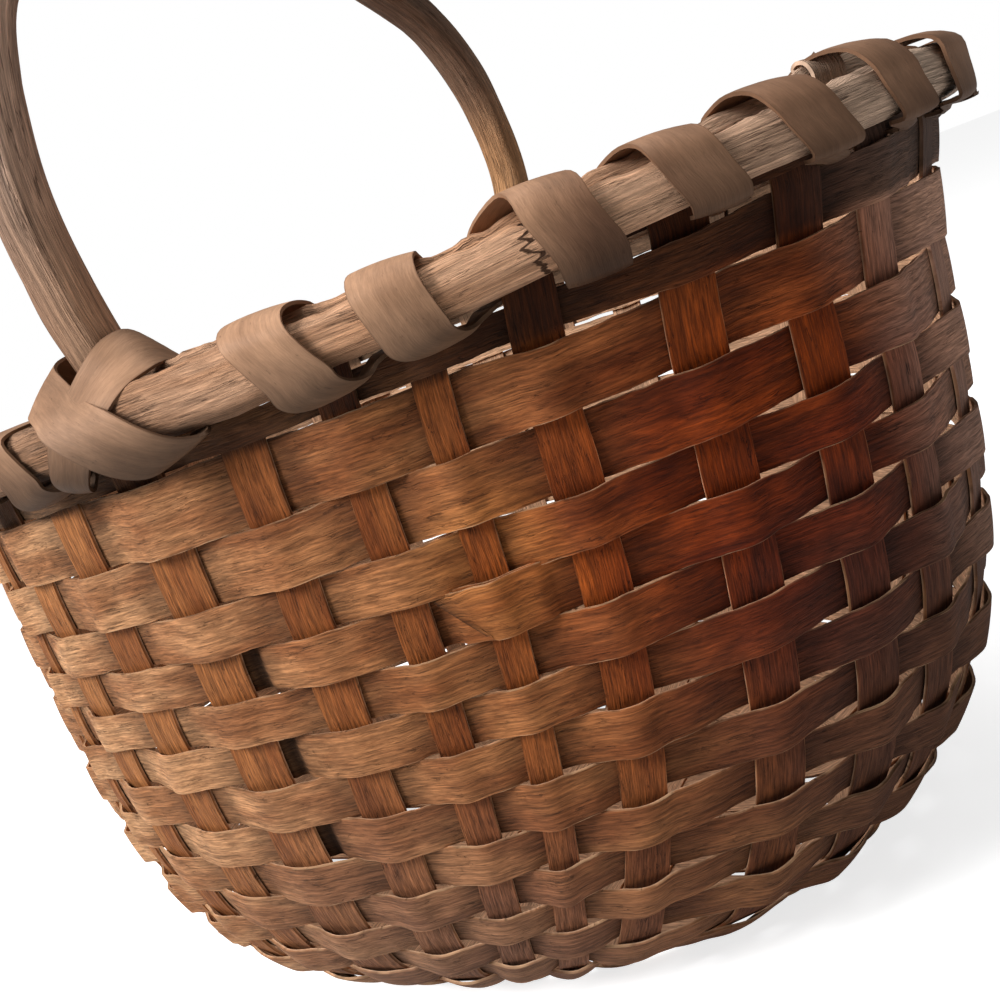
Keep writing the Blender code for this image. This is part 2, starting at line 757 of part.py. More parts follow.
def add_splint(name, points, material):
    print_least_gap(name, points)
    sections = ribbon_sections(points)
    add_object(name, lambda shape: skin_sections(shape, sections, False), material)


def add_lashing(name, first, last, material):
    """A splint wound round both hoops, one turn over each upright from the first to the last."""
    angles = slit_angles(first, last)
    points = []
    for start, stop in zip(angles[:-1], angles[1:]):
        points += lashing_turn(start, stop)
    add_splint(name, points, material)


def crossing_strand(foot, foot_angle, mirrored, lift):
    """A splint over the rim on one side of the handle, through the slit on the other and back up inside."""
    side = -1 if mirrored else 1
    reach = RIM_HALF_LENGTH + RIM_END_FLARE
    slit = abs(beside_upright(foot, side) - foot_angle) * reach
    top = CROSS_STRAND_TOP
    narrow = LASHING_WIDTH_IN_SLIT
    wide = LASHING_WIDTH
    inside = LASH_IN - (NOTCH_THICKNESS + CLEARANCE) - lift
    outside = LASH_OUT + lift
    steps = (
        (-top, inside, 0.72 * RIM_HEIGHT, 165, 1.2 * narrow),
        (-top, inside + LASHING_CORNER, LASH_TOP, 100, 0.8 * wide),
        (-0.9 * top, LASH_OUT - LASHING_CORNER, LASH_TOP, 70, 0.9 * wide),
        (-0.65 * top, outside, LASH_TOP - 2 * LASHING_CORNER, 0, 0.9 * wide),
        (0.0, outside, 0.4 * RIM_HEIGHT, 0, 0.9 * wide),
        (0.75 * slit, outside, 0.16 * RIM_HEIGHT, 0, 0.5 * (narrow + wide)),
        (slit, outside - LASHING_TUCK, LASH_BOTTOM, 315, narrow),
        (slit, inside + LASHING_TUCK, LASH_BOTTOM, 225, narrow),
        (0.5 * slit, inside, 0.2 * RIM_HEIGHT, 180, narrow),
        (-0.4 * slit, inside, 0.45 * RIM_HEIGHT, 180, narrow),
        (-0.8 * top, inside, 0.58 * RIM_HEIGHT, 180, narrow),
    )
    return [
        RibbonPoint(foot_angle + side * along / reach, away, up, facing, width)
        for along, away, up, facing, width in steps
    ]


def add_lashings(material):
    near = ORDER.index(FOOT_UPRIGHTS[0])
    far = ORDER.index(FOOT_UPRIGHTS[1])
    add_lashing("lashing_right", near + 2, far - 1, material)
    add_lashing("lashing_left", far + 2, near - 1 + len(ORDER), material)
    for place, foot, foot_angle in (("near", FOOT_UPRIGHTS[0], 0.0), ("far", FOOT_UPRIGHTS[1], math.pi)):
        for strand, mirrored, lift in (("front", False, CROSS_STRAND_LIFT), ("back", True, 0.0)):
            points = crossing_strand(foot, foot_angle, mirrored, lift)
            add_splint(f"handle_lashing_{place}_{strand}", points, material)


def stand_on_ground():
    """Moves the whole basket so that the origin is on the ground under the middle of its outline."""
    parts = list(bpy.context.scene.objects)
    corners = np.array([list(vertex.co) for part in parts for vertex in part.data.vertices])
    low = corners.min(axis=0)
    high = corners.max(axis=0)
    for part in parts:
        part.location = (-(low[0] + high[0]) / 2, -(low[1] + high[1]) / 2, -low[2])


def main():
    clear_scene()
    weaver_wood = wood_material("weaver_splint", WEAVER_COLOUR, 0.62)
    stake_wood = wood_material("stake_splint", STAKE_COLOUR, 0.60)
    hoop_wood = wood_material("rim_hoop_wood", HOOP_COLOUR, 0.70)
    lashing_wood = wood_material("lashing_splint", LASHING_COLOUR, 0.55)
    handle_wood = wood_material("handle_wood", HANDLE_COLOUR, 0.66)
    add_weavers(weaver_wood)
    add_stakes(stake_wood)
    add_hoops(hoop_wood)
    add_handle(handle_wood)
    add_lashings(lashing_wood)
    stand_on_ground()


main()
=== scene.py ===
"""Looks of the gathering basket: splints, riven hoops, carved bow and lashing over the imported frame."""

import math

import bpy
import numpy as np
from mathutils import Matrix, Vector


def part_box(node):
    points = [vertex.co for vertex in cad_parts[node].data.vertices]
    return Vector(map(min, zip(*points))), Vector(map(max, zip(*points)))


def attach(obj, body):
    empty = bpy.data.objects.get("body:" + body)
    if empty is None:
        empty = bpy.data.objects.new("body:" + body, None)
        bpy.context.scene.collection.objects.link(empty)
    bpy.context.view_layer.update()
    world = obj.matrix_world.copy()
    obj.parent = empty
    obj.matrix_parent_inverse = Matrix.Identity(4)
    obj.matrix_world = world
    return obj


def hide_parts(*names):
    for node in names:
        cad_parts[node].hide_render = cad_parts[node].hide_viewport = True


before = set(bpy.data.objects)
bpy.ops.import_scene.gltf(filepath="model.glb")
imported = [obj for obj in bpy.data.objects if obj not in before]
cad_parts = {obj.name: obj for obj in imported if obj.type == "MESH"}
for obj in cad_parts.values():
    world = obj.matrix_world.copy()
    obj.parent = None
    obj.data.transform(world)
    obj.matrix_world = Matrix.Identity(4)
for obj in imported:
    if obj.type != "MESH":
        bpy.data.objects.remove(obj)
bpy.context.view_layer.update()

# Wall of the basket, in metres from the middle of the rim's underside
RIM_HALF_LENGTH = 0.25
RIM_HALF_WIDTH = 0.166
BODY_DEPTH = 0.27
FLAT_HALF_LENGTH = 0.0905
FLAT_HALF_WIDTH = 0.066
BASE_LINE = 0.985
CURVE_DOWN = 4.0
CURVE_IN = 2.6
SIDE_DRAWN_IN = 0.0051
END_DRAWN_IN = 0.0015
BASE_SQUARENESS = 2.3
RIM_END_FLARE = 0.006
FLARE_DEPTH = 0.045
LEAN_X = 0.07
LEAN_Y = -0.042
FULL_DEPTH = BODY_DEPTH / BASE_LINE

# Stakes
STAKE_THICKNESS = 0.0013
STAKE_GAP_IN_BASE = 0.0022
SHORT_STAKE_ANGLES = (-40.5, -32.3, -22.2, -10.8, 0.8, 12.3, 21.6, 29.2, 38.3)
SHORT_STAKE_WIDTHS = (0.012, 0.014, 0.024, 0.023, 0.027, 0.02, 0.015, 0.013, 0.018)
LONG_STAKE_ANGLES = (51.3, 63.3, 74.2, 90.8, 103.5, 116.0, 128.0)
LONG_STAKE_WIDTHS = (0.02, 0.019, 0.018, 0.024, 0.02, 0.019, 0.018)
MIDDLE_LONG_STAKE_Y = 0.003
STAKE_SWEEP = 3.0
STAKE_TOP = 0.0155
STAKE_STATION = 0.0024
STAKE_TRIM = 0.03  # share of its width that a stake lost on each side
STAKE_WAVE = 0.0004  # how far a stake gives way to the weavers
PLAIT_OFFSET = 0.00088
PLAIT_SHARES = (-0.46, -0.25, 0.0, 0.25, 0.46)  # stations over a crossed stake, as shares of its width
STAKE_HALF_IN_BASE = 0.485

# Rows of weaving
WEAVER_THICKNESS = 0.0012
WEAVER_STATION = 0.0022
WEAVER_CUP = 0.0003
ROW_GAP = 0.0009
RIM_ROW_WIDTH = 0.0135
ROW_WIDTHS = (0.0137, 0.0228, 0.0228) + (0.0179,) * 7
BOTTOM_ROWS = 6
BASE_MARGIN = 0.0065
LAST_STRAIGHT_ROW = 8  # both edges of the rows below it follow the stakes' sweep
LASHING_SLIT = 0.0034
# How far a row's edge strays down the wall at an angle in degrees: row and edge, 0 its top and 1 its bottom
EDGE_MEND = {
    (0, 0): ((-60, 44, 55, 68, 78, 90, 115, 140),
             (0.0, 0.0, -0.0008, -0.0032, -0.0047, -0.0042, -0.0014, 0.0)),
    (0, 1): ((-60, -10, 20, 35, 42, 50, 70, 110, 160),
             (-0.002, -0.0036, -0.0038, -0.0035, -0.0021, -0.0003, 0.0, -0.0008, -0.002)),
    (1, 0): ((-60, -10, 10, 20, 28, 35, 40, 46, 64, 160),
             (-0.001, -0.0036, -0.003, -0.0026, -0.0017, -0.001, -0.0002, 0.0003, -0.0002, -0.0008)),
}

# Weave: how far the middle of a weaver stands from the stakes' middle
OVER_EDGE = 0.0016
OVER_TOP = 0.004
UNDER_EDGE = 0.0014
UNDER_TOP = 0.0024
HALF_OVER = 0.33  # share of the spacing that half an upright takes
BULGE_RANGE = (0.75, 1.25)
LAG_RANGE = (-0.15, 0.3)  # how late a weaver passes between the stakes, as a share of the gap
GAPING_ROWS = (4, 6, 8)  # rows that stand off inside the near foot's upright
GAPING_BULGE = 1.5
GAPING_LAG = 0.36
GAPING_SHARE = 0.24  # share of the gap beside the upright in which they stand off
GAPING_DEPTH = 0.005
EDGE_TILT = 0.00015
RECESS_DEPTH = 0.0046  # a weaver that far behind the stakes gets its darkest painted shade
RECESS_RANGE = 0.0062

# Ends of a row, in uprights along it and metres away from the stakes
ROWS_START = 13.0
OVERLAP = 2.0
OVERLAP_EASE = 0.5
LAP_ROOM = 0.0006
LAP_APART = 0.00062
END_TAPER = 0.014
END_NARROWED = 0.3
TORN_ROW = 4  # the row whose end shows on the near side
TORN_START = 2.32
TORN_OVERLAP = 1.7
TORN_SLANT = 0.38
TORN_LENGTH = 0.45
TORN_LIFT = 0.0016

# Slits between the lower rows: their share of the full width at an angle in degrees
SLIT_SIDE = ((42, 58, 100, 118), (0, 1, 1, 0))
SLIT_FIRST_ROW = 3
SLIT_HALF = 0.0007

# Wandering lines: step along, size and first seed
ROW_EDGE_WAVES = ((0.0042, 0.0002, 70), (0.018, 0.00035, 150))
ROW_LINE_WAVES = ((0.085, 0.0009, 500), (0.03, 0.0005, 600))
MENDED_EDGE_WAVES = ((0.03, 0.0004, 610),)
STAKE_EDGE_WAVES = ((0.02, 0.0004, 900), (0.004, 0.00012, 901))
HOOP_TOP_WAVES = ((0.006, 0.0008, 91), (0.03, 0.0006, 92))

# Rim
RIM_HEIGHT = 0.0185
HOOP_INSIDE = 0.00335
OUTER_HOOP_THICKNESS = 0.012
INNER_HOOP_THICKNESS = 0.009
INNER_HOOP_HEIGHT = 0.0165
INNER_HOOP_PROUD = 0.003
INNER_HOOP_LIFT = 0.001
DIP_SPACING = 0.4  # the inner hoop's top drops to the outer one's each time and rises again
DIP_LENGTH = 0.1
HOOP_STATIONS = 800
HOOP_END_GAP = 0.0008  # radians
SWERVE = 0.00745
SWERVE_HALF = 0.052
SWERVE_RAMP = 0.075
# Underside and top of the outer hoop at an angle in degrees from the near handle foot
HOOP_LOW = ((-40, 0, 9, 14, 18, 23, 33, 39, 47, 52, 68, 78, 90, 115, 140),
            (0.0, -0.001, -0.0022, -0.003, -0.0022, -0.0002, 0.0, 0.0015, 0.0036, 0.0042, 0.0052,
             0.006, 0.0052, 0.0018, 0.0))
HOOP_HIGH = ((-40, -9, 9, 16, 22, 27, 32, 39, 45, 51, 62, 78, 90, 115, 140),
             (0.0185, 0.0193, 0.0196, 0.0186, 0.0174, 0.0169, 0.0172, 0.019, 0.0203, 0.0211, 0.022,
              0.0235, 0.0228, 0.0198, 0.0185))
# How far the inner hoop rises over its even height
INNER_HOOP_RISE = ((36, 48, 66, 71, 79, 82), (0.0, 0.0016, 0.002, 0.0062, 0.0062, 0.0))

# Handle
HANDLE_WIDTH = 0.02
HANDLE_THICKNESS = 0.019
HANDLE_SIDES = 28
HANDLE_SQUARENESS = 0.7
HANDLE_STATIONS = 260
CARVING_STEP = 0.022
CARVING_DEPTH = 0.00035
TAIL_LENGTH = 0.055
HANDLE_RISE = 0.2025
NOTCH_TOP = 0.0191
BOW_START = 0.023
NEAR_SHOULDER = 0.158
FAR_SHOULDER = 0.179

# Lashing
LASHING_THICKNESS = 0.0012
LASHING_WIDTH = 0.0245
LASHING_CUP = 0.0006
UNDER_HOOP = 0.0008
# Turns out of sight: shares of the way between two slits, metres, share of the full width and hang
TOP_RANGE = (0.0, 0.25)
BOTTOM_RANGE = (0.18, 0.26)
ARCH_RANGE = (0.0055, 0.0085)
PROUD_RANGE = (0.0, 0.0015)
WIDTH_RANGE = (0.85, 1.0)
HANG = 0.6
# Turns in the photograph by upright: degrees at the top and the bottom, arch over the rim, how far it
# stands off, degrees where it goes in, if that isn't just before the next upright, shares of the full width
# and hang, and degrees by which it comes up inside from further back
TURNS_IN_VIEW = {
    31: (-11.6, -8.4, 0.0016, 0.0004, None, 1.0, 1.0, 0.0),
    2: (18.3, 21.0, 0.0052, 0.001, None, 1.0, 1.0, 0.0),
    3: (28.9, 30.0, 0.0058, 0.0004, None, 0.94, 0.8, 0.6),
    4: (41.6, 43.4, 0.0086, 0.001, 44.4, 0.88, 1.0, 5.0),
    5: (51.4, 53.6, 0.0058, 0.0004, 56.0, 0.8, 0.45, 2.5),
    6: (61.6, 64.6, 0.0072, 0.0004, 67.0, 0.8, 0.2, 1.0),
    7: (72.6, 75.6, 0.008, 0.0, 78.0, 0.76, 0.2, 0.0),
    8: (85.0, 87.0, 0.0034, 0.0008, 90.5, 0.98, 0.3, 0.0),
    9: (96.0, 97.4, 0.0004, -0.0012, None, 0.8, 0.3, 0.0),
}

hoop_low, hoop_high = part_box("outer_rim_hoop")
RIM_CENTRE = np.array(((hoop_low.x + hoop_high.x) / 2, (hoop_low.y + hoop_high.y) / 2, hoop_low.z))
BASKET_MIDDLE = RIM_CENTRE - (0.0, 0.0, 0.08)
INSIDE_PAINTED_LIGHT = 1.4  # the shade value that gives the inner side of a splint painted light


def ease(value):
    value = np.clip(value, 0.0, 1.0)
    return value * value * (3 - 2 * value)


def unit(vectors):
    return vectors / np.linalg.norm(vectors, axis=-1, keepdims=True)


def lengths_along(points):
    return np.concatenate(([0.0], np.cumsum(np.linalg.norm(np.diff(points, axis=0), axis=1))))


def wander(where, step, size, seed):
    """A smooth line that strays by up to a size, with a new value each step along."""
    knots = np.random.default_rng(seed).uniform(-1, 1, int(np.max(where) / step) + 3)
    place = np.maximum(where, 0.0) / step
    low = np.floor(place).astype(int)
    share = ease(place - low)
    return size * (knots[low] * (1 - share) + knots[low + 1] * share)


def waves(where, kinds, seed):
    """Wandering lines of several kinds, added up."""
    return sum(wander(where, step, size, first_seed + seed) for step, size, first_seed in kinds)


def half_axes(depth):
    share = np.clip(depth / FULL_DEPTH, 0.0, BASE_LINE)
    spread = (1 - share**CURVE_DOWN) ** (1 / CURVE_IN)
    drawn = np.sin(np.pi * share)
    flare = RIM_END_FLARE * np.clip(1 - np.maximum(depth, 0.0) / FLARE_DEPTH, 0.0, 1.0) ** 2
    length = FLAT_HALF_LENGTH + (RIM_HALF_LENGTH - FLAT_HALF_LENGTH) * spread - drawn * END_DRAWN_IN + flare
    width = FLAT_HALF_WIDTH + (RIM_HALF_WIDTH - FLAT_HALF_WIDTH) * spread - drawn * SIDE_DRAWN_IN
    return length, width, 2 + (BASE_SQUARENESS - 2) * ease((share / BASE_LINE - 0.8) / 0.2)


def plan(depth, angle):
    """Points of the wall's middle. The angle runs from the near handle foot towards the right."""
    length, width, squareness = half_axes(depth)
    along = np.sin(angle)
    across = np.cos(angle)
    reach = (np.abs(along) ** squareness + np.abs(across) ** squareness) ** (-1 / squareness)
    lean = np.maximum(depth, 0.0)
    x = length * along * reach - LEAN_X * lean
    y = LEAN_Y * lean - width * across * reach
    return np.stack(np.broadcast_arrays(x, y, -depth), axis=-1)


def wall_normal(depth, angle):
    down = plan(np.minimum(depth + 0.003, BODY_DEPTH), angle) - plan(depth - 0.003, angle)
    around = plan(depth, angle + 0.01) - plan(depth, angle - 0.01)
    return unit(np.cross(down, around))


def wall(depth, angle, offset):
    depth, angle, offset = np.broadcast_arrays(depth, angle, offset)
    return plan(depth, angle) + wall_normal(depth, angle) * offset[..., None]


WALL_DEPTHS = np.linspace(0.0, BODY_DEPTH, 1200)
WALL_LENGTHS = (lengths_along(plan(WALL_DEPTHS, 0.0)) + lengths_along(plan(WALL_DEPTHS, math.pi / 2))) / 2


def depth_at(length):
    return np.where(length < 0, length, np.interp(length, WALL_LENGTHS, WALL_DEPTHS))


def row_bounds():
    """Lengths down the wall where each row starts and ends."""
    upper_end = LASHING_SLIT + sum(width + ROW_GAP for width in ROW_WIDTHS)
    bottom_width = (WALL_LENGTHS[-1] - BASE_MARGIN - upper_end) / BOTTOM_ROWS - ROW_GAP
    bounds = []
    start = LASHING_SLIT
    for width in ROW_WIDTHS + (bottom_width,) * BOTTOM_ROWS:
        bounds.append((start, start + width))
        start += width + ROW_GAP
    return bounds


ROWS = row_bounds()


def base_places(widths, middle_place):
    """Where stakes lie in the base, side by side from the middle one."""
    widths = np.array(widths)
    steps = (widths[:-1] + widths[1:]) / 2 + STAKE_GAP_IN_BASE
    places = np.concatenate(([0.0], np.cumsum(steps)))
    return places - places[len(widths) // 2] + middle_place


BASE_LENGTH, BASE_WIDTH, BASE_POWER = half_axes(np.float64(BODY_DEPTH))
SHORT_PLACES = base_places(SHORT_STAKE_WIDTHS, 0.0)
LONG_PLACES = -base_places(LONG_STAKE_WIDTHS, -MIDDLE_LONG_STAKE_Y)


def other_share(share):
    return (1 - min(abs(share), 0.999) ** BASE_POWER) ** (1 / BASE_POWER)


class Upright:
    """One end of a stake, where it climbs the wall."""

    def __init__(self, rim_angle, base_angle, width):
        self.rim_angle = rim_angle
        self.base_angle = base_angle
        self.width = width
        self.lap = rim_angle % (2 * math.pi) - rim_angle

    def edges(self, depth):
        share = np.clip(depth / BODY_DEPTH, 0.0, 1.0)
        middle = self.rim_angle + (self.base_angle - self.rim_angle) * share**STAKE_SWEEP
        speed = np.linalg.norm(plan(depth, middle + 0.002) - plan(depth, middle - 0.002), axis=-1) / 0.004
        half = self.width / 2 / speed
        return middle - half, middle + half


def uprights(angles, widths, shares, mirror_sum):
    """Both ends of each stake. An end's angles and those of its mirror image add up to the mirror sum."""
    ends = []
    for degrees, width, share in zip(angles, widths, shares):
        rim = math.radians(degrees)
        sides = (share, other_share(share)) if mirror_sum else (other_share(share), share)
        base = math.atan2(*sides)
        ends.append((Upright(rim, base, width), Upright(mirror_sum - rim, mirror_sum - base, width)))
    return ends


SHORT_ENDS = uprights(SHORT_STAKE_ANGLES, SHORT_STAKE_WIDTHS, SHORT_PLACES / BASE_LENGTH, math.pi)
LONG_ENDS = uprights(LONG_STAKE_ANGLES, LONG_STAKE_WIDTHS, LONG_PLACES / BASE_WIDTH, 0.0)
ORDER = sorted((end for pair in SHORT_ENDS + LONG_ENDS for end in pair),
               key=lambda end: end.rim_angle + end.lap)
COUNT = len(ORDER)
FEET = SHORT_ENDS[len(SHORT_ENDS) // 2]


def angle_of_phase(phase, depth):
    """Angles on the wall where an upright's middle has a whole number for its phase."""
    phases = []
    angles = []
    for index in range(COUNT + 1):
        upright = ORDER[index % COUNT]
        turn = (upright.lap if index else 0.0) + 2 * math.pi * (index // COUNT)
        phases += [index - HALF_OVER, index + HALF_OVER]
        angles += [float(edge) + turn for edge in upright.edges(depth)]
    return np.interp(phase % COUNT, phases, angles) + 2 * math.pi * (phase // COUNT)


def lay_grid(name, points, grain, shade=1.0):
    """Adds a flat grid and moves its points to a table of places, rows of points along the piece."""
    along, across = points.shape[0] - 1, points.shape[1] - 1
    bpy.ops.object.select_all(action="DESELECT")
    bpy.ops.mesh.primitive_grid_add(x_subdivisions=along, y_subdivisions=across, size=1)
    piece = bpy.context.object
    piece.name = piece.data.name = name
    mesh = piece.data
    flat = np.empty(len(mesh.vertices) * 3)
    mesh.vertices.foreach_get("co", flat)
    flat = flat.reshape(-1, 3) + 0.5
    column = np.rint(flat[:, 0] * along).astype(int)
    line = np.rint(flat[:, 1] * across).astype(int)
    mesh.vertices.foreach_set("co", (points[column, line] + RIM_CENTRE).ravel())
    layer = mesh.attributes.new("grain", "FLOAT_VECTOR", "POINT")
    layer.data.foreach_set("vector", grain[column, line].ravel())
    layer = mesh.attributes.new("shade", "FLOAT", "POINT")
    layer.data.foreach_set("value", np.broadcast_to(shade, points.shape[:1])[column].copy())
    mesh.update()
    return piece


def close_shape(crease):
    """Merges what touches, closes open ends, faces everything outwards and smooths it up to a crease."""
    bpy.ops.object.mode_set(mode="EDIT")
    bpy.ops.mesh.select_all(action="SELECT")
    bpy.ops.mesh.remove_doubles(threshold=0.000002)
    bpy.ops.mesh.fill_holes(sides=0)
    bpy.ops.mesh.select_all(action="SELECT")
    bpy.ops.mesh.normals_make_consistent(inside=False)
    bpy.ops.object.mode_set(mode="OBJECT")
    bpy.ops.object.shade_smooth_by_angle(angle=math.radians(crease))


def mark_inside(piece):
    """Marks the inner side of a splint for painted light, a paler colour that stands in for the lit inside.
    """
    mesh = piece.data
    half = len(mesh.vertices) // 2
    places = np.empty(half * 6)
    mesh.vertices.foreach_get("co", places)
    first, second = places.reshape(2, half, 3)
    second_is_outside = np.sum((second - first) * (first - BASKET_MIDDLE), axis=1) > 0
    inside = np.concatenate((second_is_outside, ~second_is_outside))
    shade = np.empty(half * 2)
    layer = mesh.attributes["shade"]
    layer.data.foreach_get("value", shade)
    layer.data.foreach_set("value", np.where(inside, INSIDE_PAINTED_LIGHT, shade))


def add_splint(name, left, right, thickness, seed, across=5, outward=0.0, cup=0.0, shade=1.0, pale=True):
    """A flat splint between two edge lines, its grain running along it."""
    shares = np.linspace(0.0, 1.0, across + 1)[:, None]
    points = left[:, None] * (1 - shares) + right[:, None] * shares
    points = points + np.broadcast_to(outward, left.shape)[:, None] * (cup * 4 * shares * (1 - shares))
    width = np.linalg.norm(right - left, axis=1)
    grain = np.empty(points.shape)
    grain[..., 0] = lengths_along((left + right) / 2)[:, None]
    grain[..., 1] = width[:, None] * (shares.T - 0.5)
    grain[..., 2] = seed
    piece = lay_grid(name, points, grain, shade)
    solid = piece.modifiers.new("solid", "SOLIDIFY")
    solid.thickness = thickness
    solid.offset = 0.0
    solid.use_even_offset = True
    bpy.ops.object.modifier_apply(modifier=solid.name)
    if pale:
        mark_inside(piece)
    close_shape(40)
    return piece


def finish_piece(piece, node, material):
    piece.data.materials.append(material)
    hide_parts(node)
    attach(piece, "root")


# Weavers

def smooth_line(values, passes):
    for _ in range(passes):
        padded = np.concatenate((values[:1], values, values[-1:]))
        values = (padded[:-2] + 2 * padded[1:-1] + padded[2:]) / 4
    return values


def weave_offset(phase, row):
    """How far a weaver stands from the stakes: out over one upright, in behind the next."""
    rng = np.random.default_rng(40 + row)
    bulges = rng.uniform(*BULGE_RANGE, COUNT)
    lags = rng.uniform(*LAG_RANGE, COUNT)
    if row in GAPING_ROWS:
        bulges[0] = GAPING_BULGE
        lags[0] = GAPING_LAG
    index = np.floor(phase + HALF_OVER).astype(int)
    place = phase - index
    over = (index + row) % 2 == 1
    side = np.where(over, 1.0, -1.0)
    edge = np.where(over, OVER_EDGE, UNDER_EDGE)
    next_edge = np.where(over, UNDER_EDGE, OVER_EDGE)
    top = np.where(over, OVER_TOP, UNDER_TOP) * bulges[index % COUNT]
    on_upright = side * (edge + (top - edge) * (1 - (place / HALF_OVER) ** 2))
    across_gap = (place - HALF_OVER) / (1 - 2 * HALF_OVER)
    lag = lags[index % COUNT]
    share = (across_gap - np.maximum(lag, 0.0)) / (1 - np.abs(lag))
    in_gap = side * edge - side * (edge + next_edge) * ease(share)
    if row in GAPING_ROWS:
        gone = np.clip(across_gap / GAPING_SHARE, 0.0, 1.0)
        in_gap -= np.where(index % COUNT == 0, GAPING_DEPTH * np.sin(np.pi * gone) ** 0.7, 0.0)
    offset = np.where(place <= HALF_OVER, on_upright, in_gap)
    flatter_near_base = min(1.0, (len(ROWS) + 1.5 - row) / 5)
    return np.where(offset > 0, offset * flatter_near_base, offset)


def degrees_of(angle):
    return (np.degrees(angle) + 150.0) % 360.0 - 150.0


def add_weaver(name, row, top, bottom, start, overlap, slant, material):
    """A row of weaving with overlapped ends, the first one torn aslant if it has a slant."""
    middle_depth = depth_at((top + bottom) / 2)
    stop = start + COUNT + overlap
    phases = np.linspace(start, stop, 4000)
    arc = lengths_along(plan(middle_depth, angle_of_phase(phases, middle_depth)))
    run = np.linspace(0.0, arc[-1], max(int(arc[-1] / WEAVER_STATION), 300) + 1)
    phase = np.interp(run, arc, phases)
    once_round = phases <= phases[0] + COUNT
    around = np.interp((phase - start) % COUNT + start, phases[once_round], arc[once_round])
    middle_angle = angle_of_phase(phase, middle_depth)

    offset = smooth_line(weave_offset(phase, row), 2)
    # Painted shade: a weaver is painted darker the deeper it lies behind the stakes
    shade = ease((offset + RECESS_DEPTH) / RECESS_RANGE)
    from_start = phase - start
    first = ease(1 - (from_start - overlap) / OVERLAP_EASE)
    last = ease(1 - (stop - phase - overlap) / OVERLAP_EASE)
    offset = offset + np.sign(offset) * LAP_ROOM * np.clip(first + last, 0, 1) + LAP_APART * (first - last)
    if slant:
        offset = offset + TORN_LIFT * ease(1 - from_start / TORN_LENGTH)
        # Painted shadow along the start of the torn end
        shade = shade * (0.25 + 0.75 * ease(from_start / 0.07))
    taper = END_NARROWED * (ease(1 - run / END_TAPER) + ease(1 - (run[-1] - run) / END_TAPER))
    slack = np.interp(degrees_of(middle_angle), *SLIT_SIDE) * min(max(row - SLIT_FIRST_ROW, 0) / 3, 1.0)
    slit = SLIT_HALF * slack * np.clip(1.25 - np.abs(offset) / OVER_EDGE, 0.0, 1.0)

    edges = []
    for line, length, inwards in ((0, top, 1), (1, bottom, -1)):
        seed = 2 * row + line
        stray = waves(around, ROW_LINE_WAVES, row + line) if row >= 0 else 0.0
        if (row, line) in EDGE_MEND:
            mend = np.interp(degrees_of(middle_angle), *EDGE_MEND[row, line])
            stray = mend + waves(run, MENDED_EDGE_WAVES, seed)
        torn = slant and line == 0
        narrow = slit + (0.0 if torn else (bottom - top) / 2 * taper)
        depth = depth_at(length + waves(run, ROW_EDGE_WAVES, seed) + stray + inwards * narrow)
        angle = middle_angle
        stand = offset
        if row > LAST_STRAIGHT_ROW:
            angle = angle_of_phase(phase, depth_at(length))
        if slant:
            shifted = phase + slant * line * np.clip(1 - from_start / (3 * slant), 0, 1)
            angle = angle_of_phase(shifted, middle_depth)
            lift = TORN_LIFT * line * ease(1 - from_start / TORN_LENGTH)
            stand = np.interp(shifted, phase, offset) + lift
        edges.append(wall(depth, angle, stand - inwards * EDGE_TILT * np.sign(offset)))
    outward = wall_normal(middle_depth, middle_angle)
    piece = add_splint(name, *edges, WEAVER_THICKNESS, row * 0.37 + 1.0, 5, outward, WEAVER_CUP, shade)
    finish_piece(piece, name, material)


def add_weavers(material):
    middle = RIM_HEIGHT / 2
    half = RIM_ROW_WIDTH / 2
    add_weaver("weaver_in_rim", -1, -middle - half, half - middle, 20.0, 0.0, 0.0, material)
    for row, (top, bottom) in enumerate(ROWS):
        ends = (ROWS_START + (row * 5) % 14 + (row + 1) % 2, OVERLAP, 0.0)
        if row == TORN_ROW:
            ends = (TORN_START, TORN_OVERLAP, TORN_SLANT)
        add_weaver(f"weaver_row_{row + 1:02d}", row, top, bottom, *ends, material)


# Stakes

def upright_run(upright):
    """Edge lines of a stake's climb, from its top down to the base."""
    index = ORDER.index(upright)
    on_wall = np.arange(0.0, WALL_LENGTHS[-1], STAKE_STATION)
    lengths = np.concatenate((np.linspace(-STAKE_TOP, 0.0, 8)[:-1], on_wall))
    depths = depth_at(lengths)
    wave = np.zeros(lengths.shape)
    for row, (top, bottom) in enumerate(ROWS):
        inside = (lengths > top + 0.002) & (lengths < bottom - 0.002)
        wave[inside] = STAKE_WAVE if (index + row) % 2 == 0 else -STAKE_WAVE
    wave = smooth_line(wave, 6)
    first, second = upright.edges(depths)
    lines = []
    for edge, inwards, seed in ((first, 1, 3 * index), (second, -1, 3 * index + 40)):
        stray = waves(lengths + 0.02, STAKE_EDGE_WAVES, seed)
        moved = inwards * STAKE_TRIM * (second - first) + stray * ((second - first) / upright.width)
        lines.append(wall(depths, edge + moved, wave))
    return lines


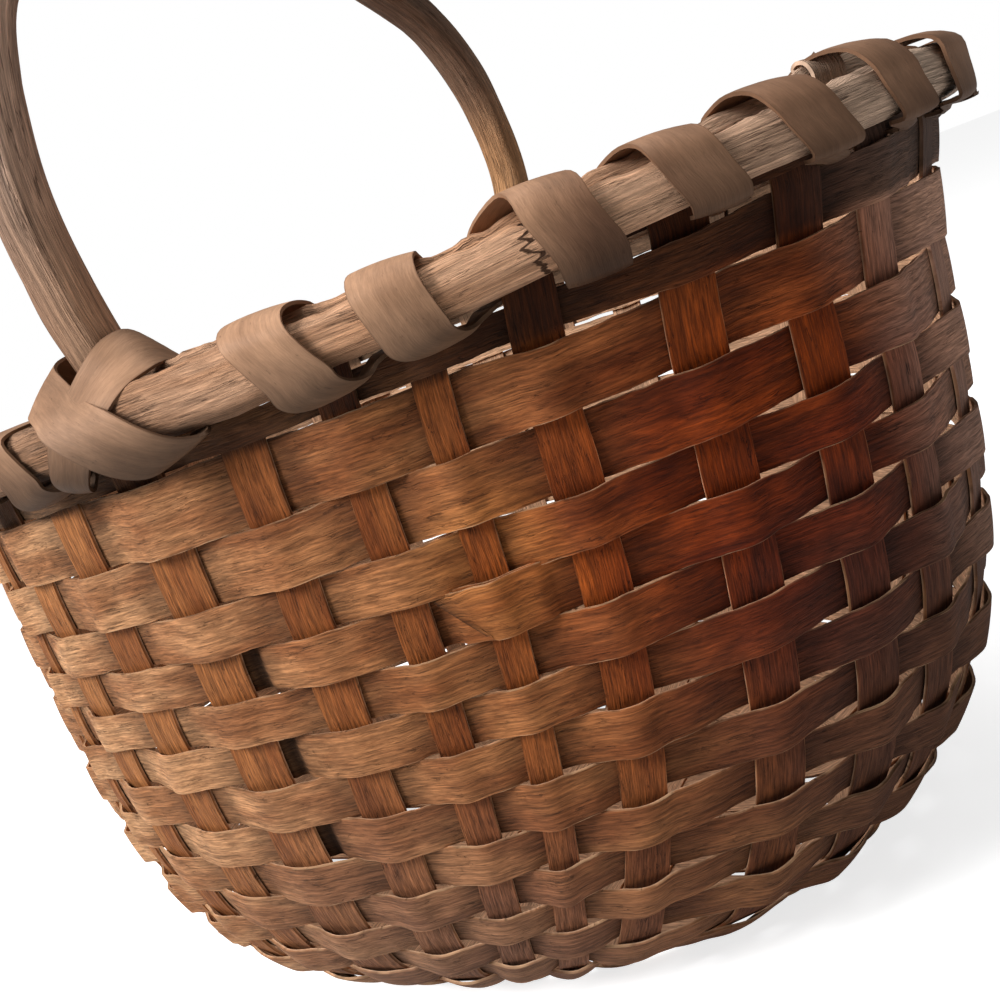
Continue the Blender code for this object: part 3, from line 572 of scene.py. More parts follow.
def base_run(number, place, width, crossed, runs_short_way):
    """Edge lines of a stake's way across the base, over and under the stakes that it crosses."""
    levels = []
    alongs = []
    direction = 1 if runs_short_way else -1
    for index, (other_place, other_width) in enumerate(crossed):
        over = ((number + index) % 2 == 0) == runs_short_way
        level = PLAIT_OFFSET if over else -PLAIT_OFFSET
        for share in PLAIT_SHARES:
            alongs.append(other_place + direction * share * other_width)
            levels.append(level * (1.25 - 0.25 * abs(share) / PLAIT_SHARES[-1]))
    finer = np.linspace(0, len(alongs) - 1, 3 * len(alongs) - 2)
    alongs = np.interp(finer, np.arange(len(levels)), alongs)
    levels = smooth_line(np.interp(finer, np.arange(len(levels)), levels), 1)
    shift = (-LEAN_X * BODY_DEPTH, LEAN_Y * BODY_DEPTH, -BODY_DEPTH)
    lines = []
    for edge in (place - width * STAKE_HALF_IN_BASE, place + width * STAKE_HALF_IN_BASE):
        across = np.full(alongs.shape, edge)
        x, y = (across, alongs) if runs_short_way else (alongs, across)
        lines.append(np.stack((x, y, levels), axis=-1) + shift)
    return lines


def add_stake(name, ends, number, place, width, crossed, runs_short_way, material):
    near_first, near_second = upright_run(ends[0])
    far_first, far_second = upright_run(ends[1])
    base_first, base_second = base_run(number, place, width, crossed, runs_short_way)
    left = smooth_line(np.concatenate((near_first, base_first, far_second[::-1])), 2)
    right = smooth_line(np.concatenate((near_second, base_second, far_first[::-1])), 2)
    seed = 9.3 + number * 0.41 + (5.0 if runs_short_way else 0.0)
    piece = add_splint(name, left, right, STAKE_THICKNESS, seed, 4)
    finish_piece(piece, name, material)


def add_stakes(material):
    short_way = list(zip(SHORT_PLACES, SHORT_STAKE_WIDTHS))
    long_way = [(-place, width) for place, width in zip(LONG_PLACES, LONG_STAKE_WIDTHS)]
    for way, first, ends, stakes, crossed in (("short", 0, SHORT_ENDS, short_way, long_way),
                                              ("long", 8, LONG_ENDS, long_way, short_way[::-1])):
        for number, (place, width) in enumerate(stakes):
            name = f"stake_{way}_way_{number + 1}"
            add_stake(name, ends[number], first + number, place, width, crossed, way == "short", material)


# Hoops

def rim_outward(angle):
    around = plan(0.0, angle + 0.01) - plan(0.0, angle - 0.01)
    return unit(np.stack((around[..., 1], -around[..., 0], np.zeros(around.shape[:-1])), axis=-1))


def rim_low(angle):
    return np.interp(degrees_of(angle), *HOOP_LOW)


def rim_high(angle):
    return np.interp(degrees_of(angle), *HOOP_HIGH)


def swerve_at(angle):
    """How far the inner hoop gives way to a handle foot."""
    reach = 0.0
    for foot in FEET:
        turned = np.abs((angle - foot.rim_angle + math.pi) % (2 * math.pi) - math.pi)
        reach = reach + SWERVE * ease(1 - (turned - SWERVE_HALF) / SWERVE_RAMP)
    return reach


def rounded(corners, passes):
    """Cuts the corners of a closed outline again and again."""
    outline = np.array(corners, float)
    for _ in range(passes):
        after = np.roll(outline, -1, axis=0)
        cuts = (outline * 0.75 + after * 0.25, outline * 0.25 + after * 0.75)
        outline = np.stack(cuts, axis=1).reshape(-1, 2)
    return outline


def add_hoop(name, corners, inside, start_degrees, rough, seed, material):
    """A riven hoop: an outline carried round the rim, ragged along its top and split along its grain."""
    angles = np.radians(start_degrees) + np.linspace(0.0, 2 * math.pi - HOOP_END_GAP, HOOP_STATIONS)
    middle = plan(0.0, angles)
    outward = rim_outward(angles)
    run = lengths_along(middle)
    base, top, swerve = rim_low(angles), rim_high(angles), 0.0
    if inside:
        base = np.full(angles.shape, INNER_HOOP_LIFT)
        top = top + INNER_HOOP_PROUD * ease((run % DIP_SPACING) / DIP_LENGTH)
        top = top + np.interp(degrees_of(angles), *INNER_HOOP_RISE)
        swerve = swerve_at(angles)
    ragged = np.abs(waves(run, HOOP_TOP_WAVES, seed))
    outline = rounded(corners, 2)
    section = np.concatenate((outline, outline[:1]))
    centre = outline.mean(axis=0)
    low, high = outline[:, 1].min(), outline[:, 1].max()
    rows = []
    for number, (away, up) in enumerate(section):
        place = number % len(outline)
        height = (up - low) / (high - low)
        ridge = waves(run, ((0.05, rough, seed), (0.01, rough * 0.6, seed + 50)), place)
        from_centre = unit(np.array((away, up)) - centre)
        out = away + from_centre[0] * ridge - swerve
        rise = base + (top - base) * height + from_centre[1] * ridge - (ragged if height > 0.9 else 0.0)
        rows.append(middle + outward * out[:, None] + rise[:, None] * (0.0, 0.0, 1.0))
    points = np.stack(rows, axis=1)
    points[:, -1] = points[:, 0]
    grain = np.empty(points.shape)
    grain[..., 0] = run[:, None]
    grain[..., 1] = section[:, 1]
    grain[..., 2] = section[:, 0] + seed * 0.013
    piece = lay_grid(name, points, grain)
    close_shape(48)
    finish_piece(piece, name, material)


def add_hoops(material):
    out = HOOP_INSIDE + OUTER_HOOP_THICKNESS
    outer = ((HOOP_INSIDE, 0.0), (HOOP_INSIDE, RIM_HEIGHT), (out - 0.0035, RIM_HEIGHT),
             (out, RIM_HEIGHT - 0.0045), (out + 0.0002, 0.0065), (out - 0.0035, 0.0))
    add_hoop("outer_rim_hoop", outer, False, 236.0, 0.00035, 1100, material)
    deep = -HOOP_INSIDE - INNER_HOOP_THICKNESS
    low, high = INNER_HOOP_LIFT, INNER_HOOP_LIFT + INNER_HOOP_HEIGHT
    inner = ((-HOOP_INSIDE, high), (-HOOP_INSIDE, low), (deep + 0.0025, low),
             (deep, low + 0.0045), (deep, high - 0.0045), (deep + 0.0025, high))
    add_hoop("inner_rim_hoop", inner, True, 128.0, 0.0003, 1300, material)


# Handle

def smooth_curve(points, steps):
    """A smooth curve through the points."""
    points = np.array(points, float)
    padded = np.concatenate((2 * points[:1] - points[1:2], points, 2 * points[-1:] - points[-2:-1]))
    curve = []
    for before, start, end, after in zip(padded, padded[1:], padded[2:], padded[3:]):
        square = 2 * before - 5 * start + 4 * end - after
        cube = 3 * start - before - 3 * end + after
        for step in range(steps):
            t = step / steps
            curve.append(0.5 * (2 * start + (end - before) * t + square * t * t + cube * t**3))
    curve.append(points[-1])
    return np.array(curve)


def foot_outside_at(level, foot):
    depth = max(-level, 0.0)
    return abs(wall(depth, foot.edges(depth)[0], 0.0)[1]) - HOOP_INSIDE


def tail_stations(foot, side):
    """The handle's tail inside the wall and its notch, from the tail's end upwards."""
    steps = ((-TAIL_LENGTH, 0.01, 0.0028), (-TAIL_LENGTH + 0.006, 0.0142, 0.003),
             (-TAIL_LENGTH + 0.012, 0.016, 0.003), (-0.022, 0.0162, 0.0042), (-0.0085, 0.0165, 0.005),
             (-0.0025, 0.019, 0.007), (NOTCH_TOP, 0.02, 0.007))
    stations = []
    for level, width, thickness in steps:
        across = side * (foot_outside_at(level, foot) - thickness / 2)
        stations.append((-LEAN_X * max(-level, 0.0), across, level, -side, 0.0, width, thickness))
    return stations


def bow_stations():
    """The carved bow over the rim, from the near foot to the far one."""
    foot = foot_outside_at(0.0, FEET[0]) - HANDLE_THICKNESS / 2
    near, far, top = NEAR_SHOULDER, FAR_SHOULDER, HANDLE_RISE
    bow = [(-foot, BOW_START), (-near, 0.27 * top), (-near, 0.46 * top), (-0.94 * near, 0.65 * top),
           (-0.83 * near, 0.81 * top), (-0.62 * near, 0.93 * top), (-0.24 * near, top),
           (0.2 * far, 0.99 * top), (0.55 * far, 0.86 * top), (0.83 * far, 0.72 * top),
           (0.97 * far, 0.54 * top), (far, 0.34 * top), (0.96 * far, 0.2 * top), (foot, BOW_START)]
    curve = smooth_curve(bow, 9)
    direction = unit(np.gradient(curve, axis=0))
    direction[0] = (0, 1)
    direction[-1] = (0, -1)
    swell = 1 + 0.05 * np.sin(np.linspace(0, 19, len(curve))) * np.sin(np.linspace(0, math.pi, len(curve)))
    return [(0.0, y, z, dz, -dy, HANDLE_WIDTH * more, HANDLE_THICKNESS * (2 - more))
            for (y, z), (dy, dz), more in zip(curve, direction, swell)]


def add_handle(material):
    """A rounded square carried along stations of middle, inward direction, width and thickness."""
    near_tail = tail_stations(FEET[0], -1.0)
    far_tail = tail_stations(FEET[1], 1.0)
    stations = np.array(near_tail + bow_stations() + far_tail[::-1])
    run = lengths_along(stations[:, :3])
    even = np.unique(np.concatenate((np.linspace(0.0, run[-1], HANDLE_STATIONS), run)))
    table = np.stack([np.interp(even, run, column) for column in stations.T], axis=1)
    inward = unit(np.stack((0 * even, table[:, 3], table[:, 4]), axis=-1))
    turns = 2 * np.pi * (np.arange(HANDLE_SIDES + 1) + 0.5) / HANDLE_SIDES
    across = np.sign(np.cos(turns)) * np.abs(np.cos(turns)) ** HANDLE_SQUARENESS
    through = np.sign(np.sin(turns)) * np.abs(np.sin(turns)) ** HANDLE_SQUARENESS
    sides = [wander(even, CARVING_STEP, CARVING_DEPTH, 1700 + side % HANDLE_SIDES)
             for side in range(HANDLE_SIDES + 1)]
    carved = np.stack(sides, axis=1)
    half_width = across * (table[:, 5:6] / 2 + carved)
    half_thick = through * (table[:, 6:7] / 2 + carved)
    points = table[:, None, :3] + inward[:, None] * half_thick[..., None]
    points[..., 0] += half_width
    points[:, -1] = points[:, 0]
    grain = np.stack(np.broadcast_arrays(even[:, None], half_width, half_thick + 3.0), axis=-1)
    piece = lay_grid("bow_handle", points, grain)
    close_shape(50)
    finish_piece(piece, "bow_handle", material)


# Lashing

IN = -HOOP_INSIDE - INNER_HOOP_THICKNESS - 0.0035
OUT = HOOP_INSIDE + OUTER_HOOP_THICKNESS + 0.0014
SLIT = -LASHING_SLIT / 2


def add_band(name, steps, per_step, seed, material, node=None):
    """A flat splint through steps of (angle, away from the wall, level) for its left and its right edge."""
    table = smooth_curve(steps, per_step)
    edges = []
    for angle, away, level in (table[:, :3].T, table[:, 3:].T):
        line = plan(0.0, angle) + rim_outward(angle) * away[:, None]
        line[:, 2] = level
        edges.append(line)
    left, right = edges
    along = unit(np.gradient((left + right) / 2, axis=0))
    face = unit(np.cross(unit(right - left), along))
    piece = add_splint(name, left, right, LASHING_THICKNESS, seed, 6, -face, LASHING_CUP, pale=False)
    finish_piece(piece, node or name, material)


def before_upright(index):
    """The angle of the slit just before an upright, where the lashing goes in under the hoops."""
    upright = ORDER[index % COUNT]
    edge = upright.edges(0.0)[0]
    return edge + upright.lap + 2 * math.pi * (index // COUNT) - 0.0055 * turn_per_metre(edge)


def turn_per_metre(angle):
    return 0.02 / np.linalg.norm(plan(0.0, angle + 0.01) - plan(0.0, angle - 0.01))


def turn_steps(start, stop, top, bottom, arch, proud, share_of_width, hang, back):
    """One turn: up inside both hoops, over the rim, down aslant and back in under the hoop."""
    scale = turn_per_metre(bottom)
    half = LASHING_WIDTH * 0.46 * share_of_width
    high, low = rim_high(top), rim_low(bottom)
    slit = SLIT + 0.7 * max(rim_low(stop), 0.0)
    spare = max((stop - bottom) / scale - half, 0.0)
    steps = []

    def add(middle, first, second, away, level, far_away=None, far_level=None):
        far_away = away if far_away is None else far_away
        far_level = level if far_level is None else far_level
        steps.append((middle + first * scale, away, level, middle + second * scale, far_away, far_level))

    def hang_down(table):
        for first, second, away, far_away, depth, far_depth in table:
            level, far_level = (low - UNDER_HOOP - (down - UNDER_HOOP) * hang for down in (depth, far_depth))
            add(bottom, first, second, away, level, far_away, far_level)

    for share, wide, away, level in ((0.1, 0.4, IN + 0.003, SLIT + 0.001),
                                     (0.3, 0.75, IN, 0.25 * RIM_HEIGHT),
                                     (0.75, 1.0, IN - 0.0008, 0.78 * RIM_HEIGHT)):
        middle = start + (top - back - start) * share
        add(middle, -half * wide, half * wide, away - swerve_at(middle), level)
    lift = min(INNER_HOOP_PROUD + 0.0008, arch)
    sink = back / math.radians(5)
    for share, behind, away, rise in ((0.0, 0.9, IN + 0.0012 - swerve_at(top), (0.45 - 0.6 * sink) * arch),
                                      (0.0, 0.6, -0.0072, max((0.9 - 0.6 * sink) * arch, lift)),
                                      (0.02, 0.15, 0.0016, (1 - 0.08 * sink) * arch),
                                      (0.12, 0.0, OUT - 0.0052, 0.66 * arch),
                                      (0.3, 0.0, OUT + proud * 0.6, -0.0015),
                                      (0.62, 0.0, OUT + proud, (low - high) / 2)):
        middle = top + (bottom - top) * share - back * behind
        add(middle, -half, half, away, high + rise + 0.0006, away, high + rise - 0.0006)
    out, out_far = OUT + proud, OUT + proud * 0.6
    if spare > 0.006:
        add(bottom, -half * 0.97, half * 0.98, out, low + 0.001, out_far, low + 0.0022)
        hang_down((
            (-half * 0.82, half + 0.08 * spare, out, OUT, 0.004, 0.0016),
            (-half * 0.48, half + 0.24 * spare, OUT - 0.0008, OUT - 0.0022, 0.0072, 0.004),
            (half * 0.15, half + 0.46 * spare, OUT - 0.0038, OUT - 0.0052, 0.0082, 0.005),
            (half, half + 0.72 * spare, OUT - 0.0084, OUT - 0.0078, 0.007, 0.0046),
        ))
        add(stop, -0.0075, -0.0006, 0.0058, slit - 0.0029, 0.0076, slit - 0.0017)
        add(stop, -0.0045, 0.0042, 0.0022, slit - 0.0003, 0.0036, slit)
    else:
        add(bottom, -half, half * 0.98, out, low + 0.001, out_far)
        hang_down((
            (-half * 0.97, half * 0.97, out - 0.0004, OUT - 0.0004, 0.004, 0.0048),
            (-half * 0.92, half * 0.93, OUT - 0.0024, OUT - 0.003, 0.0062, 0.0068),
            (-half * 0.8, half * 0.85, 0.0095, 0.0095, 0.006, 0.0062),
        ))
        add(stop, -half * 0.55, half * 0.5, 0.0055, slit - 0.0012)
    add(stop, -0.0045, 0.0045, -0.006, slit)
    return steps


def lashing_steps(first, last):
    rng = np.random.default_rng(first)
    steps = []
    start = before_upright(first)
    for index in range(first, last + 1):
        stop = before_upright(index + 1)
        middle = before_upright(index)
        top = middle + (stop - middle) * rng.uniform(*TOP_RANGE)
        bottom = top + (stop - middle) * rng.uniform(*BOTTOM_RANGE)
        arch = rng.uniform(*ARCH_RANGE)
        proud = rng.uniform(*PROUD_RANGE)
        share = rng.uniform(*WIDTH_RANGE)
        hang, back = HANG, 0.0
        if index % COUNT in TURNS_IN_VIEW:
            turns = 2 * math.pi * (index // COUNT + (1 if index % COUNT > COUNT / 2 else 0))
            top, bottom, arch, proud, seen_stop, share, hang, back = TURNS_IN_VIEW[index % COUNT]
            top, bottom, back = math.radians(top) + turns, math.radians(bottom) + turns, math.radians(back)
            if seen_stop:
                stop = math.radians(seen_stop) + turns
        elif rng.uniform() > 0.5:
            stop = bottom + (LASHING_WIDTH / 2 + 0.002) * turn_per_metre(bottom)
        steps += turn_steps(start, stop, top, bottom, arch, proud, share, hang, back)
        start = stop
    return steps


def crossing_steps(table, foot):
    """Turns the steps seen at the near foot, in degrees and millimetres, to a foot."""
    scales = (math.pi / 180, 0.001, 0.001) * 2
    shifts = (foot.rim_angle - FEET[0].rim_angle, 0.0, 0.0) * 2
    return np.array(table) * scales + shifts


# Degrees, millimetres from the wall and millimetres up, for the left and the right edge
FRONT_STRAND = (
    (-11.0, -17.0, 3.0, -6.0, -19.0, 5.0),
    (-11.0, -17.5, 10.0, -5.0, -22.5, 17.0),
    (-10.4, -16.5, 17.0, -3.9, -21.5, 29.0),
    (-9.4, -11.5, 23.0, -3.3, -14.5, 36.5),
    (-8.0, -2.0, 24.4, -3.2, -6.5, 37.0),
    (-5.8, 9.0, 22.2, -2.5, 0.8, 34.4),
    (-3.4, 16.0, 18.0, -0.3, 5.8, 26.8),
    (-1.9, 19.5, 11.0, 2.2, 12.0, 19.8),
    (1.3, 20.5, -0.5, 5.3, 18.6, 14.2),
    (3.6, 20.0, -7.2, 7.8, 19.6, 4.9),
    (5.3, 17.5, -10.8, 9.5, 17.0, -1.6),
    (6.6, 14.0, -11.0, 11.0, 13.8, -4.2),
    (8.2, 10.5, -8.2, 11.8, 11.4, -4.2),
    (9.0, 5.0, -3.8, 11.2, 6.0, -2.6),
    (8.2, -3.0, -1.8, 10.3, -3.0, -1.8),
    (8.2, -9.0, -1.8, 10.2, -9.0, -1.8),
)
BACK_STRAND = (
    (8.4, -8.0, -1.8, 10.4, -8.0, -1.8),
    (6.4, -19.0, 3.0, 10.6, -17.0, 3.0),
    (4.8, -22.5, 17.0, 9.2, -18.5, 10.0),
    (4.0, -21.0, 29.0, 7.6, -17.5, 16.5),
    (3.6, -13.0, 37.0, 6.9, -11.0, 21.4),
    (2.9, -4.5, 37.0, 7.6, -3.0, 21.8),
    (1.9, 2.0, 33.0, 7.8, 4.5, 21.0),
    (0.2, 6.6, 26.4, 6.6, 11.5, 18.6),
    (-1.3, 12.8, 18.5, 5.0, 16.4, 13.4),
    (-2.4, 16.8, 11.0, 2.8, 17.6, 6.0),
    (-3.6, 17.4, 2.5, 0.9, 17.2, -1.2),
    (-4.2, 16.4, -2.5, -0.7, 15.4, -7.6),
    (-4.6, 12.0, -6.4, -1.7, 10.6, -9.6),
    (-4.8, 6.5, -5.2, -2.3, 6.0, -6.6),
    (-4.5, 2.2, -2.2, -2.6, 2.2, -2.3),
    (-4.4, -5.0, -1.8, -2.5, -5.0, -1.8),
    (-4.6, -11.0, -1.8, -2.4, -11.0, -1.8),
)
# A splint's end that curls up between the hoops: degrees, metres from the wall and metres over the outer hoop
CURLED_END = (
    (68.4, 0.0, -0.008), (68.6, 0.0004, 0.001), (68.8, 0.0, 0.0046), (69.0, -0.002, 0.0076),
    (69.2, -0.005, 0.009), (69.4, -0.0078, 0.009), (69.5, -0.0094, 0.008), (69.4, -0.0088, 0.007),
)
CURLED_END_WIDTH = 4.6  # degrees


def add_lashings(material, torn_material):
    curl = []
    for degrees, away, level in CURLED_END:
        first, second = math.radians(degrees), math.radians(degrees + CURLED_END_WIDTH)
        curl.append((first, away, rim_high(first) + level, second, away, rim_high(second) + level))
    add_band("lashing_right_end", curl, 4, 27.9, torn_material, "lashing_right")
    near, far = ORDER.index(FEET[0]), ORDER.index(FEET[1])
    add_band("lashing_right", lashing_steps(near + 2, far - 1), 3, 21.3, material)
    add_band("lashing_left", lashing_steps(far + 2, near - 1 + COUNT), 3, 22.9, material)
    for place, foot in (("near", FEET[0]), ("far", FEET[1])):
        for strand, table, seed in (("front", FRONT_STRAND, 24.0), ("back", BACK_STRAND, 25.1)):
            name = f"handle_lashing_{place}_{strand}"
            add_band(name, crossing_steps(table, foot), 5, seed + foot.rim_angle, material)


# Finishes

# What the splints are multiplied by towards the right
AMBER = (0.71, 0.52, 0.365)
RUDDY_PLACE = (0.215, -0.11, 0.178)
RIGHT_END = (0.3, 0.02, 0.29)
BREAK_X = 0.1575
BREAK_PLACE = (0.17, -0.142, 0.281)
# Where one lashing turn gets painted shade
PAINTED_SHADE_TURN = (0.192, -0.128, 0.274)
# Patches on the splints: tint, its share, middle, radius that has it in full, radius where it ends and blend
SPLINT_PATCHES = (
    ((1.42, 1.42, 1.1), 0.8, (0.122, -0.14, 0.192), 0.008, 0.04, "MULTIPLY"),
    ((0.6, 0.4, 0.17), 0.9, (0.212, -0.095, 0.15), 0.015, 0.075, "MULTIPLY"),
    ((0.172, 0.102, 0.072), 0.6, (0.03, -0.15, 0.0), 0.03, 0.16, "MIX"),
    # painted shade over the lower far right of the wall
    ((0.075, 0.036, 0.024), 0.8, (0.215, -0.01, 0.05), 0.06, 0.19, "MIX"),
)
# Patches on the handle: a dull arch, a worn foot at the far side and a grey arm at the near side
HANDLE_PATCHES = (
    ((0.135, 0.09, 0.068), 0.6, (0.0, 0.11, 0.46), 0.05, 0.14, "MIX"),
    ((0.56, 0.285, 0.125), 0.8, (0.0, 0.18, 0.31), 0.02, 0.075, "MIX"),
    ((0.42, 0.3, 0.235), 0.6, (0.0, -0.175, 0.43), 0.02, 0.13, "MIX"),
)


class Number:
    """A number that changes over a surface, for sums written as plain arithmetic."""

    def __init__(self, finish, socket):
        self.finish = finish
        self.socket = socket

    def __add__(self, other):
        return self.finish.maths("ADD", self, other)

    def __sub__(self, other):
        return self.finish.maths("SUBTRACT", self, other)

    def __rsub__(self, other):
        return self.finish.maths("SUBTRACT", other, self)

    def __mul__(self, other):
        return self.finish.maths("MULTIPLY", self, other)

    def __abs__(self):
        return self.finish.maths("ABSOLUTE", self)

    __radd__ = __add__
    __rmul__ = __mul__


class Finish:
    """The look of a material or of the world, built node by node."""

    def __init__(self, owner):
        owner.use_nodes = True
        self.tree = owner.node_tree

    def feed(self, socket, value):
        if isinstance(value, Number):
            value = value.socket
        if isinstance(value, bpy.types.NodeSocket):
            self.tree.links.new(value, socket)
        elif socket.type == "RGBA":
            socket.default_value = (*value, 1.0)
        else:
            socket.default_value = value

    def fill(self, node, sockets):
        for key, value in sockets.items():
            self.feed(node.inputs[key], value)

    def node(self, kind, sockets=None, output=0, **settings):
        """Adds a node and returns one of its outputs."""
        made = self.tree.nodes.new("ShaderNode" + kind)
        for name, value in settings.items():
            setattr(made, name, value)
        self.fill(made, sockets or {})
        return made.outputs[output]

    def number(self, *arguments, **settings):
        return Number(self, self.node(*arguments, **settings))

    def maths(self, operation, first, second=0.0):
        return self.number("Math", {0: first, 1: second}, operation=operation)

    def step(self, value, low, high, to_low=0.0, to_high=1.0):
        """Eases from one level to another as the value climbs from low to high."""
        sockets = {0: value, 1: low, 2: high, 3: to_low, 4: to_high}
        return self.number("MapRange", sockets, interpolation_type="SMOOTHSTEP", clamp=True)

    def seen_by_camera(self):
        return self.number("LightPath", output="Is Camera Ray")


class Wood(Finish):
    """A finish whose noises run along the grain of a piece. Its colour is built up layer by layer."""

    def __init__(self, name, colour):
        self.material = bpy.data.materials.new(name)
        super().__init__(self.material)
        self.colour = colour
        self.grain = self.node("Attribute", output="Vector", attribute_name="grain")
        self.shade = self.number("Attribute", output="Fac", attribute_name="shade")
        self.place = self.node("TexCoord", output="Object")
        self.x, self.y, self.z = (self.number("SeparateXYZ", {0: self.place}, axis) for axis in "XYZ")

    def noise(self, scale, detail, rough, bend=0.0, vector=None):
        stretched = self.node("VectorMath", {0: vector or self.grain, 1: scale}, operation="MULTIPLY")
        return self.number("TexNoise", {"Vector": stretched, "Scale": 1.0, "Detail": detail,
                                        "Roughness": rough, "Distortion": bend})

    def spots(self, scale, low=0.28, high=0.72, detail=3, rough=0.6, bend=0.0):
        """One where a noise is above high and nothing where it is below low."""
        return self.step(self.noise(scale, detail, rough, bend), low, high)

    def lines(self, scale, detail, rough, bend, inner, outer):
        """Thin lines where a noise crosses its middle."""
        return self.step(abs(self.noise(scale, detail, rough, bend) - 0.5), inner, outer, 1.0, 0.0)

    def near(self, point, inner, outer):
        """One close to a point and nothing further from it."""
        distance = self.number("VectorMath", {0: self.place, 1: point}, "Value", operation="DISTANCE")
        return self.step(distance, inner, outer, 1.0, 0.0)

    def tint(self, share, colour, blend="MIX"):
        sockets = {0: share, 6: self.colour, 7: colour}
        self.colour = self.node("Mix", sockets, 2, data_type="RGBA", blend_type=blend)

    def brighten(self, amount):
        self.colour = self.node("VectorMath", {0: self.colour, "Scale": amount}, operation="SCALE")

    def patch(self, patches):
        for colour, share, point, inner, outer, blend in patches:
            self.tint(self.near(point, inner, outer) * share, colour, blend)

    def from_edge(self):
        """Nothing at a splint's edges and one along its middle."""
        across = self.number("SeparateXYZ", {0: self.node("TexCoord", output="UV")}, "Y")
        return across * (1 - across) * 4

    def done(self, roughness, height, strength, distance):
        normal = self.node("Bump", {"Height": height, "Strength": strength, "Distance": distance})
        shader = self.tree.nodes["Principled BSDF"]
        self.fill(shader, {"Base Color": self.colour, "Roughness": roughness, "Normal": normal,
                           "Specular IOR Level": 0.14})
        return self.material


def splint_finish(name, light, dark, brown, pale, seams, edge_width, ruddy_tint):
    """Split ash: streaked and seamed along the grain, stained in patches and pale where its edges fray,
    partly a painted highlight, with painted shade under the rim, in recesses and over the lower far right,
    and painted light on its inner side.
    """
    wood = Wood(name, light)
    cloud = wood.noise((62, 190, 17), 5, 0.66, 0.5)
    streak = wood.spots((52, 900, 29), 0.3, 0.7, 4, 0.66, 0.3)
    thread = wood.spots((150, 2000, 41), detail=2)
    fleck = wood.spots((90, 1250, 97), 0.62, 0.69, 2)
    seam = wood.lines((55, 560, 53), 3, 0.6, 0.8, 0.003, 0.02) * wood.spots((90, 200, 61), 0.52, 0.64)
    wood.tint(wood.spots((16, 45, 11), 0.38, 0.62, 2, 0.55), dark)
    wood.tint(wood.step(cloud, 0.46, 0.68) * 0.4, brown)
    wood.tint(wood.step(wood.x, -0.12, 0.12), AMBER, "MULTIPLY")
    ruddy = wood.near(RUDDY_PLACE, 0.04, 0.13)
    blotch = wood.spots((34, 85, 83), 0.36, 0.66, bend=0.6)
    wood.tint(ruddy * 0.95, ruddy_tint, "MULTIPLY")
    wood.brighten(1 + ruddy * (blotch - 0.42) * 0.6)
    wood.patch(SPLINT_PATCHES)
    # Greyer and paler towards the far right end
    greyer_right_end = wood.step(wood.x, 0.222, 0.262)
    wood.tint(greyer_right_end * 0.75, (0.56, 0.35, 0.265))
    # Painted light on the inner side: a pale tint that stands in for the lit inside of the basket
    inside = wood.step(wood.shade, 1.1, INSIDE_PAINTED_LIGHT)
    wood.tint(inside * 0.7, (0.46, 0.295, 0.188))
    wood.brighten((0.6 + streak * 0.7) * (0.72 + thread * 0.54) * (1 - seam * seams) * (1 - fleck * 0.38))
    # Pale frayed edges, partly a painted highlight where the edges catch the light
    ragged = wood.noise((190, 60, 7), 3, 0.7)
    fray_and_highlight = wood.spots((60, 20, 71), 0.46, 0.64, 2)
    from_edge = wood.from_edge() - ragged * edge_width * 1.7 + edge_width * 0.45
    edge = wood.step(from_edge, 0.0, edge_width, 1.0, 0.0)
    wood.tint(edge * (0.1 + fray_and_highlight * 0.5), pale)
    # Painted shadow and dirt under the hoop, then painted shade in the recesses and painted light on the
    # inner side from the shade attribute
    rim_shadow_and_dirt = wood.step(wood.z, 0.253, 0.2585, 1.0, 0.24)
    wood.brighten(rim_shadow_and_dirt * (0.1 + wood.shade * 0.9))
    height = streak * 0.45 + thread * 0.35 - seam * 0.8 - fleck * 0.3
    return wood.done(0.58 + cloud * 0.26, height, 0.7, 0.0006)


def hoop_finish(name):
    """Riven oak: long fibrous ridges with dark cracks and one break across the outer hoop, with painted light
    and shade along it and painted shade low on it.
    """
    wood = Wood(name, (0.62, 0.355, 0.215))
    band = wood.spots((26, 620, 620), bend=0.3)
    fibre = wood.spots((110, 2300, 2300))
    broken = wood.spots((40, 160, 160), 0.46, 0.6, 2)
    crack = wood.lines((24, 620, 620), 3, 0.55, 0.5, 0.002, 0.016) * broken
    wide_jag = wood.noise((0, 0, 260), 1, 0.5, 0.0, wood.place) * 0.022
    small_jag = wood.noise((0, 0, 900), 1, 0.5, 0.0, wood.place) * 0.004
    gap = abs(wood.x - (wide_jag + small_jag) - BREAK_X)
    snapped = wood.step(gap, 0.0004, 0.0011, 1.0, 0.0) * wood.near(BREAK_PLACE, 0.018, 0.022)
    crack = wood.maths("MAXIMUM", crack * 0.8, snapped * 1.2)
    tone = wood.spots((14, 90, 90), 0.35, 0.65)
    wood.tint(tone, (0.46, 0.24, 0.132))
    # Painted light and shade: the hoops are darker at the left and brighter towards the right
    wood.brighten(wood.step(wood.x, -0.02, 0.13, 0.64, 1.28))
    wood.tint(wood.near(RIGHT_END, 0.05, 0.22) * 0.75, (0.56, 0.445, 0.35))
    wood.brighten((0.7 + band * 0.48) * (0.68 + fibre * 0.56))
    wood.tint(crack * 0.8, (0.06, 0.026, 0.013))
    # Painted shade on the lower part of the hoops
    wood.brighten(wood.step(wood.z, 0.2695, 0.2765, 0.45, 1.0))
    return wood.done(0.66 + band * 0.2, band * 0.6 + fibre * 0.4 - crack * 1.2, 0.9, 0.001)


